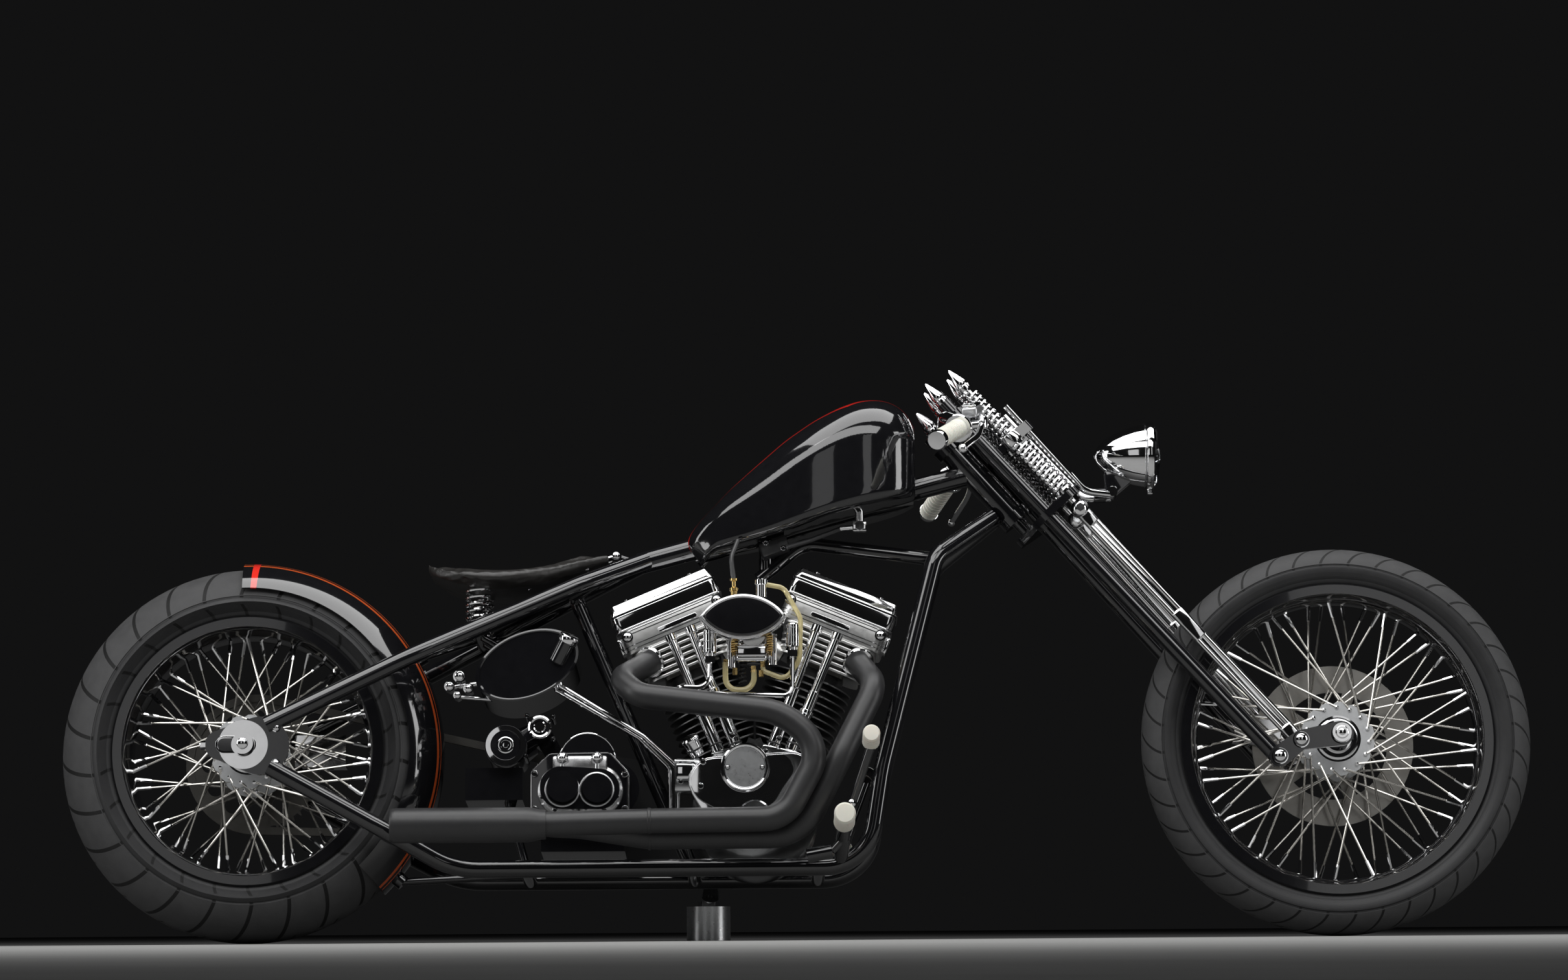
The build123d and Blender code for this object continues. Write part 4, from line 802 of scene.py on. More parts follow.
class CHOPPER_OT_wheels(bpy.types.Operator):
    """Make the tyres, rims, hubs and spokes"""
    bl_idname = "chopper.wheels"
    bl_label = "Wheels"

    def execute(self, context):
        sizes = context.scene.chopper_sizes
        for name, row in WHEELS.items():
            x, z, radius, half, crown, bead, rim_half, flange_y, _, ends = row
            body, at = f"{name}_wheel", moved(x, 0, z) @ ALONG_Y
            rubber = Shape().add(tyre(radius, half, crown, bead, rim_half), f"{name}_rubber", at)
            rubber.place(f"{name}_road_tyre", body, "tyre_rubber", [f"{name}_tyre"])
            hoop = Shape().add(rim(bead, rim_half), "enamel", at)
            hoop.place(f"{name}_drop_centre_rim", body, "gloss_black", [f"{name}_rim"])
            hub = Shape()
            barrel = [(10.2, ends[0]), (24, ends[0]), (27, ends[0] + 3), (27, -flange_y - 5),
                      (44, -flange_y - 3), (46, -flange_y), (40, -flange_y + 6), (31, -flange_y + 16),
                      (29, 0), (31, flange_y - 16), (40, flange_y - 6), (46, flange_y), (44, flange_y + 3),
                      (27, flange_y + 5), (27, ends[1] - 3), (24, ends[1]), (10.2, ends[1])]
            hub.add(turned(barrel, 48, closed=True), "chrome", at)
            for side in SIDES:
                hub.add(flange(FLANGE_R + 3, 6.5, sizes.spokes // 2), "brushed",
                        at @ moved(0, 0, side * flange_y))
                hub.add(ring(36, 2.4), "chrome", at @ moved(0, 0, side * (flange_y + 4)))
                for i in range(sizes.spokes):
                    start, end = spoke_ends(row, side, i, sizes.spokes)
                    way = (end - start).normalized()
                    hub.add(bar(start, end, sizes.spoke_radius, sides=7), "steel")
                    hub.add(bar(end - way * 30, end, 3.3, 3.6, sides=7), "chrome")
                    hub.add(ball(4.0, 4), "chrome", Matrix.Translation(start))
            hub.place(f"{name}_laced_hub", body, "bright_steel", [f"{name}_hub"])
        return {"FINISHED"}


# Engine

CRANK_AT, CLUTCH_AT = (908, 222), (612, 262)
CRANK = moved(CRANK_AT[0], 0, CRANK_AT[1])
V_HALF = math.radians(22.5)
CYLINDERS = {"front": CRANK @ Matrix.Rotation(V_HALF, 4, "Y"),
             "rear": CRANK @ Matrix.Rotation(-V_HALF, 4, "Y")}
OUTWARD = {"front": 1, "rear": -1}
PUSHRODS = ((-22, 26), (17, 60))           # fore-aft place at the head and on the cam chest
CAM_AT, CHEST_Y = (891, 294), 128
CHEST_SCREWS = ((812, 262), (816, 306), (868, 352), (952, 346), (1002, 300), (986, 248), (930, 164),
                (858, 168))


def fins(foot, top, first, pitch, count, radius, core, thick):
    """Barrel with a stack of round cooling fins."""
    section = [(0, foot), (core, foot)]
    for i in range(count):
        h = first + pitch * i
        section += [(core, h), (radius - 0.8, h + 0.2), (radius, h + 0.9), (radius, h + thick - 0.9),
                    (radius - 0.8, h + thick - 0.2), (core, h + thick)]
    return turned(section + [(core, top), (0, top)], 52)


def clipped(bm, way, reach):
    """Cuts off what lies further than reach along a direction."""
    way = Vector(way)
    cut = bmesh.ops.bisect_plane(bm, geom=bm.verts[:] + bm.edges[:] + bm.faces[:], plane_co=way * reach,
                                 plane_no=way, clear_outer=True)
    bmesh.ops.edgeloop_fill(bm, edges=lines(cut["geom_cut"]))
    return bm


class CHOPPER_OT_engine(bpy.types.Operator):
    """Make the finned cylinders, heads, covers, pushrods and the cam chest's fittings"""
    bl_idname = "chopper.engine"
    bl_label = "Engine"

    def execute(self, context):
        sizes = context.scene.chopper_sizes
        barrels, heads, covers, rods, chest = Shape(), Shape(), Shape(), Shape(), Shape()
        for word, at in CYLINDERS.items():
            out = OUTWARD[word]
            stack = fins(122, 284, 132, 13, 11, 78, 46, sizes.fin_thickness)
            for side in SIDES:
                clipped(stack, (0, side, 0), 70)
            clipped(stack, (-out * math.cos(V_HALF), 0, -math.sin(V_HALF)), -2)
            barrels.add(stack, f"{word}_fins", at)
            # the head's core is dark steel: painted shade in the gaps between the fins
            heads.add(slab(108, 98, 12, 284, 394), "dark_and_shaded_steel", at)
            for i in range(6):
                plate = slab(152 + 5 * i, 132, 26, 289 + 11 * i, 290.6 + 11 * i + sizes.fin_thickness,
                             round_by=1.2)
                heads.add(plate, "cast", at @ moved(out * 5, 0, 0))
            heads.add(slab(196, 128, 22, 350, 394, round_by=3), "cast", at @ moved(out * 2, 0, 0))
            for h in (357, 364, 384, 390):
                heads.add(slab(197.4, 129.4, 22, h, h + 1.6), "polished", at @ moved(out * 2, 0, 0))
            heads.add(slab(76, 9, 4, -1.5, 1.5, round_by=0.8), "chrome",
                      at @ moved(-out * 5, -65, 372) @ RIGHT)
            for n, h in ((-86, 382), (88, 382)):
                heads.add(dome_nut(7.5, 6), "chrome", at @ moved(out * n, -64.5, h) @ RIGHT)
            heads.add(block((10, 46, 30), 3), "chrome", at @ moved(out * 103, -20, 372))
            cover = at @ moved(out * 2, 0, 0)
            covers.add(slab(206, 128, 14, 394, 397, round_by=0.8), "chrome", cover)
            covers.add(slab(202, 124, 13, 397, 423, round_by=1.5), "chrome", cover)
            covers.add(slab(199, 121, 12, 423, 425.4), "enamel", cover)
            covers.add(slab(204, 126, 14, 425.4, 446, inset=10, round_by=2), "chrome", cover)
            for n in (-62, 62):
                for y in (-38, 38):
                    covers.add(cap_screw(5, 4), "chrome", cover @ moved(n, y, 446))
            for top_n, foot_n in PUSHRODS:
                top = at @ Vector((out * top_n, -84, 352))
                foot = Vector((908 + out * foot_n, -100, 318))
                way = (top - foot).normalized()
                length = (top - foot).length
                section = [(0, -4), (12, -4), (12, length * 0.34), (13.6, length * 0.345),
                           (13.6, length * 0.37), (10.4, length * 0.375), (10.4, length * 0.52),
                           (8.4, length * 0.53), (8.4, length * 0.95), (11.2, length * 0.955),
                           (11.2, length), (0, length)]
                rods.add(turned(section, 24), "chrome", toward(foot, top))
                for share in (0.03, 0.1):
                    rods.add(ring(12.4, 1.5, 24, 6), "plastic", toward(foot + way * length * share, top))
            block_at = moved(908 + out * 43, -98, 316) @ Matrix.Rotation(out * V_HALF * 0.55, 4, "Y")
            chest.add(block((66, 40, 34), 5), "polished", block_at)
            for n in (-25, 25):
                chest.add(cap_screw(4.4, 5), "chrome", block_at @ moved(n, -20, 4) @ RIGHT)
        barrels.place("finned_barrels", "frame", "cylinder_silver", ["cylinders"])
        heads.place("finned_heads", "frame", "polished_aluminium", ["cylinder_heads"])
        covers.place("two_tier_covers", "frame", "chrome", ["rocker_covers"])
        rods.place("collared_pushrods", "frame", "chrome", ["pushrod_tubes"])
        chest.add(hull((836, 270, 45), (974, 282, 41), (900, 234, 83), low=CHEST_Y, high=CHEST_Y + 3,
                       round_by=1.5), "chrome", RIGHT)
        chest.add(hull((836, 270, 42), (974, 282, 38), (900, 234, 40), low=CHEST_Y + 2, high=CHEST_Y + 5,
                       round_by=1.5), "chrome", RIGHT)
        for x, z in CHEST_SCREWS:
            chest.add(cap_screw(5.4, 6), "chrome", moved(x, -CHEST_Y - 3, z) @ RIGHT)
        x, z = CAM_AT
        rim_ring = [(0, 0), (44, 0), (44, 8), (42.6, 11.4), (40, 12.4), (37.4, 11.4), (36.4, 9), (0, 9)]
        chest.add(turned(rim_ring, 56), "chrome", moved(x, -CHEST_Y - 4, z) @ RIGHT)
        chest.add(turned([(0, 8), (36, 8), (36, 9.6), (35, 10.4), (18, 10.9), (0, 11.1)], 56), "cam_face",
                  moved(x, -CHEST_Y - 4, z) @ RIGHT)
        for side in SIDES:
            chest.add(dome_nut(3.4, 3.4), "polished", moved(x + side * 31, -CHEST_Y - 17, z) @ RIGHT)
        chest.add(turned([(0, 0), (30, 0), (30, 9), (27, 12), (12, 13), (12, 17), (0, 17)], 36), "polished",
                  moved(908, -CHEST_Y - 4, 206) @ RIGHT)
        chest.add(block((48, 44, 62), 5), "polished", moved(788, -78, 286))
        chest.add(block((36, 14, 30), 4), "chrome", moved(786, -104, 292))
        chest.add(turned([(0, 0), (15, 0), (15, 26), (17, 27), (17, 31), (14, 34), (0, 35)], 28), "chrome",
                  toward((806, -92, 326), (786, -110, 362)))
        chest.add(ring(16, 1.6, 28, 6), "plastic", toward((801, -96.5, 335), (786, -110, 362)))
        for x, z in ((776, 306), (798, 306), (776, 274), (798, 274)):
            chest.add(cap_screw(4, 5), "chrome", moved(x, -100, z) @ RIGHT)
        chest.place("cam_chest_fittings", "frame", "polished_aluminium", ["cam_cover"])
        return {"FINISHED"}


class CHOPPER_OT_induction(bpy.types.Operator):
    """Make the air cleaner, the carburettor, its hoses and the breather lines"""
    bl_idname = "chopper.induction"
    bl_label = "Induction"

    def execute(self, context):
        cleaner, carb = Shape(), Shape()
        at = moved(889, 0, 558) @ RIGHT
        cleaner.add(pointed(156, 82, 150, 188, 3), "chrome", at)
        cleaner.add(pointed(149, 76, 187, 191, 1.5), "chrome", at)
        cleaner.add(pointed(143, 71, 189, 196.5, 3.2), "enamel", at)
        cleaner.place("pointed_air_cleaner", "frame", "black_plastic", ["air_cleaner"])
        carb.add(bar((906, -28, 516), (906, -150, 534), 24, sides=24), "cast")
        for x in (852, 960):
            carb.add(tube([(906, -30, 530), (906 + (x - 906) * 0.5, -30, 530), (x, -30, 512)], 19, 20, 20),
                     "cast")
        carb.add(block((56, 52, 34), 7, 3), "chrome", moved(904, -122, 500))
        carb.add(block((52, 8, 20), 3), "chrome", moved(904, -150, 501))
        for x, low, high, radius in ((868, 474, 536, 8.5), (941, 478, 534, 8.5), (880, 490, 540, 5),
                                     (930, 490, 540, 5)):
            carb.add(bar((x, -132, low), (x, -132, high), radius, sides=14), "chrome")
        for x in (873, 937):
            carb.add(coil((x, -146, 500), (x, -146, 532), 5.5, 1.3, 7, 10, 5), "brass")
            carb.add(bar((x, -146, 494), (x, -146, 540), 2.4, sides=8), "brass")
        for x, z in ((858, 482), (874, 466), (907, 470), (924, 480), (921, 462)):
            carb.add(bar((x, -132, z - 5), (x, -132, z + 7), 5.0, sides=6), "brass")
        carb.add(coil((888, -122, 446), (888, -122, 488), 6, 1.8, 5, 10, 5), "plastic")
        carb.add(tube([(857, -132, 484), (857, -132, 434), (908, -132, 434), (908, -132, 470)], 5.2, 22, 10),
                 "hose")
        carb.add(tube([(926, -150, 622), (962, -146, 616), (992, -140, 562), (990, -138, 486),
                       (964, -134, 452), (924, -132, 468), (924, -132, 482)],
                      4.4, [20, 30, 40, 18, 9], 10), "hose")
        carb.add(turned([(0, 0), (9.5, 0), (9.5, 22), (11.4, 23), (11.4, 31), (9, 33), (0, 33)], 20),
                 "chrome", moved(922, -150, 598))
        carb.add(turned([(0, 0), (6, 0), (6, 14), (8, 15), (8, 20), (4, 22), (4, 32), (7, 33), (7, 37),
                         (0, 38)], 12), "brass", moved(873, -120, 600))
        carb.add(tube([(873, -120, 634), (868, -116, 676), (880, -84, 712)], 4.5, 26, 10), "plastic")
        for x, z in ((977, 540), (830, 530)):
            carb.add(bar((x, -150, z), (x, -60, z), 8, sides=14), "chrome")
            carb.add(turned([(0, 0), (10, 0), (11.6, 1.5), (11.6, 40), (10, 42), (0, 42)], 20), "chrome",
                     moved(x, -150, z - 32))
            for h in (6, 20, 34):
                carb.add(ring(11.4, 1.1, 20, 6), "polished", moved(x, -150, z - 32 + h))
            carb.add(bar((x, -150, z - 50), (x, -150, z - 38), 10, sides=6), "chrome")
            carb.add(bar((x, -150, z - 40), (x, -150, z - 30), 6.5, sides=12), "chrome")
        front_line = [(977, -150, 492), (976, -158, 419), (773, -160, 426), (768, -66, 428)]
        rear_line = [(830, -150, 482), (828, -158, 434), (774, -160, 436), (770, -66, 438)]
        carb.add(tube(front_line, 4.2, [16, 12], 10), "chrome")
        carb.add(tube(rear_line, 4.2, [22, 12], 10), "chrome")
        carb.place("carburettor_fittings", "frame", "polished_aluminium", ["carburettor"])
        return {"FINISHED"}


class CHOPPER_OT_drive(bpy.types.Operator):
    """Make the gearbox cover, the starter's end and the primary's screws"""
    bl_idname = "chopper.drive"
    bl_label = "Drive"

    def execute(self, context):
        box, starter, primary = Shape(), Shape(), Shape()
        plate = ((524, 288, 14), (548, 311, 14), (644, 312, 14), (669, 285, 14), (669, 222, 14),
                 (524, 222, 14))
        box.add(hull(*[(x, z, r + 1.3) for x, z, r in plate], low=104, high=108, round_by=0.6), "chrome",
                RIGHT)
        box.add(hull(*plate, low=107, high=118, round_by=2), "enamel", RIGHT)
        box.add(turned([(0, 60), (51, 60), (51, 100), (49, 103), (0, 103)], 48), "enamel",
                moved(610, 0, 312) @ RIGHT)
        box.add(ring(50.6, 1.3, 48, 6), "chrome", moved(610, -102, 312) @ RIGHT)
        for x, r, first in ((566, 45, 200), (627, 47, 240)):
            disc = [(0, 116), (r, 116), (r, 118.5), (r - 2, 121.5), (r - 6, 125.5), (34.5, 130.5), (33, 134),
                    (31, 136.6), (29, 137), (27, 135.8), (26.2, 132), (0, 132)]
            box.add(turned(disc, 48), "soft_chrome", moved(x, 0, 257) @ RIGHT)
            box.add(turned([(0, 131.5), (25.8, 131.5), (25.4, 134), (23, 134.6), (0, 134.6)], 40), "enamel",
                    moved(x, 0, 257) @ RIGHT)
            for i in range(3):
                a = math.radians(first + 50 * i)
                spot = moved(x + 38 * math.cos(a), -131, 257 + 38 * math.sin(a))
                box.add(cap_screw(4.4, 5), "chrome", spot @ RIGHT)
        box.add(block((98, 14, 30), 5), "soft_chrome", moved(597, -122, 304))
        for x in (566, 628):
            box.add(ball(11, 10), "chrome", moved(x, -132, 314))
            box.add(bar((x, -131, 306), (x, -131, 292), 4.2, sides=12), "polished")
        for x, z in ((516, 288), (677, 286), (516, 224), (677, 224)):
            box.add(cap_screw(6, 6), "chrome", moved(x, -118, z) @ RIGHT)
        box.place("double_round_cover", "frame", "polished_aluminium")
        face = moved(465, 0, 338) @ RIGHT
        starter.add(turned([(0, 100), (37.4, 100), (37.4, 128), (35.5, 132.4), (27, 133.4), (26, 131),
                            (0, 131)], 48), "chrome", face)
        starter.add(turned([(0, 130.5), (25.6, 130.5), (25, 132.4), (16, 132.8), (16, 130.8), (0, 130.8)],
                           40), "enamel", face)
        starter.add(turned([(0, 130), (15, 130), (15, 133.6), (12.5, 134.6), (9, 134), (8.6, 132.6),
                            (5, 132.6), (4.6, 135), (0, 135.4)], 32), "chrome", face)
        boss = moved(525, 0, 373) @ RIGHT
        starter.add(turned([(0, 90), (21, 90), (21, 110), (18, 112), (15, 111), (14.6, 109), (11, 109),
                            (11, 115), (9, 117), (0, 117)], 32), "chrome", boss)
        starter.add(hull((465, 338, 12), (525, 373, 12), low=90, high=104, round_by=2), "enamel", RIGHT)
        for x, z in ((499, 322), (548, 352), (548, 392), (502, 394)):
            starter.add(cap_screw(4.6, 6), "chrome", moved(x, -104, z) @ RIGHT)
            starter.add(bar((x, -104, z), (x, -30, z), 4.0, sides=10), "chrome")
        starter.place("starter_rings", "frame", "polished_aluminium")
        left = moved(0, 199, 0)
        for i in range(14):
            a = 2 * math.pi * i / 14
            wide, (x, z) = (88, CLUTCH_AT) if math.cos(a) < 0 else (74, CRANK_AT)
            spot = moved(x + wide * math.cos(a), 0, z + wide * math.sin(a))
            primary.add(cap_screw(5, 6), "chrome", left @ spot @ ALONG_Y)
        primary.add(turned([(0, 0), (58, 0), (58, 9), (55, 12), (40, 12.6), (38, 11), (0, 12)], 48), "chrome",
                    left @ moved(CLUTCH_AT[0], 0, CLUTCH_AT[1]) @ ALONG_Y)
        primary.add(turned([(0, 0), (40, 0), (40, 7), (37, 9), (0, 9.6)], 44), "chrome",
                    left @ CRANK @ ALONG_Y)
        for x, z in ((724, 246), (796, 236)):
            primary.add(cap_screw(9, 6, 6), "polished", left @ moved(x, 0, z) @ ALONG_Y)
        primary.place("primary_fittings", "frame", "polished_aluminium")
        return {"FINISHED"}


# Fork, in its own frame: ahead of the steering axis, left, up the axis

LEG_AHEAD, ROD_AHEAD, LEG_TOP, ROD_TOP, EYE, YOKE = 42.0, 90.0, 150.0, 140.0, -160.0, 16.0
AXLE_N, _, AXLE_H = FORK.inverted() @ Vector((WHEELBASE, 0, FRONT_Z))
PIVOTS = {"rear": (AXLE_N - 109, AXLE_H + 44), "front": (AXLE_N - 61, AXLE_H + 40)}
LEG_TOP_Y, LEG_FOOT_Y, ROCKER_Y, PIVOT_NUT_Y, AXLE_NUT_Y = 44.0, 88.0, 103.4, 114.5, 115.0
LEG_SLOPE = (LEG_FOOT_Y - LEG_TOP_Y) / (LEG_TOP - PIVOTS["rear"][1])


def leg_y(h):
    """Distance of a leg from the middle at a height."""
    return LEG_TOP_Y + (LEG_TOP - h) * LEG_SLOPE


def rod_y(h):
    """Distance of a spring rod from the middle at a height."""
    return LEG_TOP_Y + (ROD_TOP - h) / (ROD_TOP - EYE) * (leg_y(EYE) - LEG_TOP_Y)


def on_fork(n, y, h):
    """Place on the machine of a point of the fork."""
    return FORK @ Vector((n, y, h))


class CHOPPER_OT_fork(bpy.types.Operator):
    """Make the springs, bullets, eyes and nuts of the fork and the front brake's bolts"""
    bl_idname = "chopper.fork"
    bl_label = "Fork"

    def execute(self, context):
        springs, bullets, nuts, legs = Shape(), Shape(), Shape(), Shape()
        bullet = [(0, -3), (12.6, -3), (13.6, 1), (13.6, 8), (11.4, 10), (12.6, 13), (12.2, 19), (8.2, 34),
                  (4.2, 46), (2.4, 49.4), (0, 50)]
        for side in SIDES:
            for low, high, radius, wire, turns in ((-122, YOKE - 10, 16.4, 4.4, 11),
                                                   (YOKE + 10, ROD_TOP - 2, 13.8, 4.0, 9)):
                start, end = [on_fork(ROD_AHEAD, side * rod_y(h), h) for h in (low, high)]
                springs.add(coil(start, end, radius, wire, turns, 18, 8), "chrome")
                springs.add(bar(start, end, 6.2, sides=14), "chrome")
            collar = toward(on_fork(ROD_AHEAD, side * rod_y(YOKE - 11), YOKE - 11),
                            on_fork(ROD_AHEAD, side * rod_y(YOKE + 11), YOKE + 11))
            springs.add(turned([(7, 0), (20.4, 0), (21, 2), (21, 20), (20.4, 22), (7, 22)], 32, closed=True),
                        "chrome", collar)
            eye = on_fork(ROD_AHEAD, side * leg_y(EYE), EYE)
            nuts.add(ball(17, 12), "chrome", Matrix.Translation(eye))
            nuts.add(bar(eye - Vector((0, 22, 0)), eye + Vector((0, 22, 0)), 8, sides=6), "polished")
            leg_top = on_fork(LEG_AHEAD, side * LEG_TOP_Y, LEG_TOP)
            rod_top = on_fork(ROD_AHEAD, side * LEG_TOP_Y, ROD_TOP)
            leg_foot = on_fork(PIVOTS["rear"][0], side * LEG_FOOT_Y, PIVOTS["rear"][1])
            bullets.add(turned(bullet, 28), "chrome", toward(leg_top, leg_top + (leg_top - leg_foot)))
            bullets.add(turned(bullet, 28), "chrome", toward(rod_top, rod_top + (rod_top - eye)))
            face = outward(side)
            for n, h in PIVOTS.values():
                spot = on_fork(n, side * PIVOT_NUT_Y, h)
                nuts.add(dome_nut(11, 13, 20), "chrome", Matrix.Translation(spot) @ face)
            nuts.add(dome_nut(13.5, 19, 24), "chrome", moved(WHEELBASE, side * AXLE_NUT_Y, FRONT_Z) @ face)
            for n, h in PIVOTS.values():
                ring_at = on_fork(n, side * ROCKER_Y, h)
                nuts.add(ring(15, 2.2, 28, 6), "chrome", Matrix.Translation(ring_at) @ face)
            foot = on_fork(PIVOTS["front"][0], side * LEG_FOOT_Y, PIVOTS["front"][1])
            along, length = (foot - eye).normalized(), (foot - eye).length
            fore = FORK.to_3x3() @ Vector((1, 0, 0))
            fore = (fore - along * fore.dot(along)).normalized()
            lie = Matrix((fore, along.cross(fore), along)).transposed().to_4x4()
            for edge in SIDES:
                legs.add(bar(eye + fore * edge * 7.4, foot + fore * edge * 7.4, 5.8, sides=18), "chrome")
            legs.add(block((15, 7, length), 1), "chrome", Matrix.Translation((eye + foot) / 2) @ lie)
            for share, run in ((0.03, 0.08), (0.5, 0.12), (0.97, 0.08)):
                legs.add(block((24, 13, length * run), 4.5, 4), "chrome",
                         Matrix.Translation(eye.lerp(foot, share)) @ lie)
            legs.add(bar(eye, rod_top, 6.1, sides=16), "chrome")
            legs.add(bar(on_fork(PIVOTS["front"][0], side * 80, PIVOTS["front"][1]),
                         on_fork(PIVOTS["front"][0], side * ROCKER_Y, PIVOTS["front"][1]),
                         14, sides=28), "chrome")
        bullets.add(turned(bullet, 28), "chrome", toward(on_fork(0, 0, 126), on_fork(0, 0, 170)))
        bullets.add(turned([(13, 0), (22, 0), (22, 7), (20, 9), (13, 9)], 24, closed=True), "chrome",
                    toward(on_fork(0, 0, 118), on_fork(0, 0, 170)))
        legs.place("grooved_legs", "fork", "chrome", ["fork_front_legs"])
        springs.place("coil_springs", "fork", "chrome", ["fork_springs"])
        bullets.place("bullet_caps", "fork", "chrome", ["fork_bullets"])
        nuts.place("fork_nuts", "fork", "chrome")
        disc = Shape()
        for i in range(5):
            a = math.radians(72 * i)
            spot = moved(WHEELBASE + 44 * math.cos(a), 60, FRONT_Z - 44 * math.sin(a))
            disc.add(cap_screw(6, 5), "chrome", spot @ ALONG_Y)
        disc.add(ring(122, 2.0, 60, 6), "plastic", moved(WHEELBASE, 60, FRONT_Z) @ ALONG_Y)
        disc.place("disc_bolts", "front_wheel", "bright_steel")
        return {"FINISHED"}


VOXEL, PRESSURE, CLOTH_STEPS = 0.005, 4.0, 20


class CHOPPER_OT_saddle(bpy.types.Operator):
    """Make the padded solo saddle, its hinge and its springs"""
    bl_idname = "chopper.saddle"
    bl_label = "Saddle"

    def execute(self, context):
        bm = merged("seat")
        mesh = bpy.data.meshes.new("solo_saddle")
        bm.to_mesh(mesh)
        bm.free()
        piece = bpy.data.objects.new("solo_saddle", mesh)
        context.scene.collection.objects.link(piece)
        voxels = piece.modifiers.new("voxels", "REMESH")
        voxels.mode, voxels.voxel_size = "VOXEL", VOXEL
        self.settle(context, piece)
        self.swell(context, piece)
        smooth = piece.modifiers.new("smooth", "SUBSURF")
        smooth.levels = smooth.render_levels = 1
        piece.data.materials.clear()
        piece.data.materials.append(PAINTS["leather"])
        piece.data.shade_smooth()
        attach(piece, "frame")
        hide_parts("seat")
        perch = Shape()
        for side in SIDES:
            foot, top = (412, side * 60, 561), (412, side * 60, 641)
            perch.add(coil(foot, top, 20.5, 3.4, 6, 18, 8), "chrome")
            perch.add(turned([(0, 0), (20, 0), (20, 3), (0, 3)], 28), "chrome", Matrix.Translation(foot))
            perch.add(bar((412, side * 60, 561), (412, side * 60, 596), 7, sides=14), "enamel")
            perch.add(dome_nut(6, 8), "chrome", moved(412, side * 60, 640) @ Matrix.Rotation(math.pi, 4, "X"))
            perch.add(bar((500, side * 40, 636), (632, side * 17, 688), 4.5, sides=10), "chrome")
            for x, z in ((530, 646), (606, 675)):
                perch.add(block((9, 9, 9), 2), "chrome", moved(x, side * (40 - (x - 500) * 0.174), z))
            perch.add(dome_nut(7, 7), "chrome", moved(659, side * 13, 698) @ outward(side))
        perch.add(bar((659, -13, 698), (659, 13, 698), 10, sides=20), "chrome")
        perch.add(bar((659, 0, 698), (694, 0, 686), 8, sides=14), "enamel")
        perch.add(bar((632, -17, 688), (659, -8, 698), 5, sides=10), "chrome")
        perch.add(bar((632, 17, 688), (659, 8, 698), 5, sides=10), "chrome")
        perch.place("saddle_springs", "frame", "chrome", ["seat_springs"])
        return {"FINISHED"}

    def settle(self, context, piece):
        """Puts the result of the modifiers into the mesh."""
        shaped = bpy.data.meshes.new_from_object(piece.evaluated_get(context.evaluated_depsgraph_get()))
        piece.modifiers.clear()
        piece.data = shaped

    def swell(self, context, piece):
        """Fills the cover from inside as cloth, no point moving further than the cap."""
        before = [v.co.copy() for v in piece.data.vertices]
        cloth = piece.modifiers.new("cover", "CLOTH")
        cloth.settings.use_pressure = True
        cloth.settings.uniform_pressure_force = PRESSURE
        cloth.settings.effector_weights.gravity = 0.0
        cloth.settings.quality = 6
        for step in range(1, CLOTH_STEPS + 1):
            context.scene.frame_set(step)
        self.settle(context, piece)
        context.scene.frame_set(1)
        cap = context.scene.chopper_sizes.saddle_swell * MM
        for vertex, start in zip(piece.data.vertices, before):
            push = vertex.co - start
            if push.length > cap:
                vertex.co = start + push.normalized() * cap


class CHOPPER_OT_lamp(bpy.types.Operator):
    """Make the teardrop headlamp with its rim, reflector, lens and clevis"""
    bl_idname = "chopper.lamp"
    bl_label = "Headlamp"

    def execute(self, context):
        lamp, glass = Shape(), Shape()
        centre = on_fork(264.6, 0, -172.4)
        ahead = Matrix.Translation(centre) @ ALONG_X
        shell = [(0, -109), (6, -108), (16, -102.5), (28, -91), (39, -74), (47.5, -55), (53.5, -36),
                 (56.6, -20), (57.2, -15), (59, -14.4), (62, -12.5), (63.2, -9), (63.2, -5), (62, -1.5),
                 (59, 0.5), (56.6, 0.4), (56.6, -3), (48, -10), (36, -19), (20, -27), (0, -30)]
        lamp.add(turned(shell, 64), "chrome", ahead)
        lamp.add(ring(57.6, 1.0, 64, 6), "polished", ahead @ moved(0, 0, -16.5))
        lamp.add(ball(9, 8), "glass", ahead @ moved(0, 0, -18))
        lens = [(56.4, -1.5), (56.4, 0.6), (52, 4.6), (44, 8), (30, 11), (14, 12.3), (0, 12.6), (0, 10.4),
                (14, 10.1), (30, 8.8), (44, 5.8), (52, 2.4)]
        glass.add(turned(lens, 64), "glass", ahead)
        lamp.add(block((11, 12, 12), 3), "chrome", Matrix.Translation(centre + Vector((-7, 0, -66))))
        lamp.add(bar(centre + Vector((-7, -10, -66)), centre + Vector((-7, 10, -66)), 3.2, sides=6),
                 "polished")
        pivot = centre + Vector((-76, 0, -65))
        for side in SIDES:
            low, high = (9, 14) if side < 0 else (-14, -9)
            rounds = ((pivot.x, pivot.z, 11), (centre.x - 86, centre.z - 34, 4),
                      (centre.x - 44, centre.z - 47, 4))
            lamp.add(hull(*rounds, low=low, high=high, round_by=1), "enamel", RIGHT)
            spot = Matrix.Translation(pivot + Vector((0, side * 14, 0)))
            lamp.add(dome_nut(6.5, 7), "chrome", spot @ outward(side))
        lamp.add(bar(pivot - Vector((0, 14, 0)), pivot + Vector((0, 14, 0)), 6, sides=14), "chrome")
        lamp.add(block((22, 40, 20), 2), "enamel", Matrix.Translation(pivot + Vector((-22, 0, -8))))
        lamp.place("teardrop_lamp", "fork", "chrome", ["headlamp"])
        glass.place("lamp_lens", "fork", "clear_glass", ["headlamp_lens"])
        return {"FINISHED"}


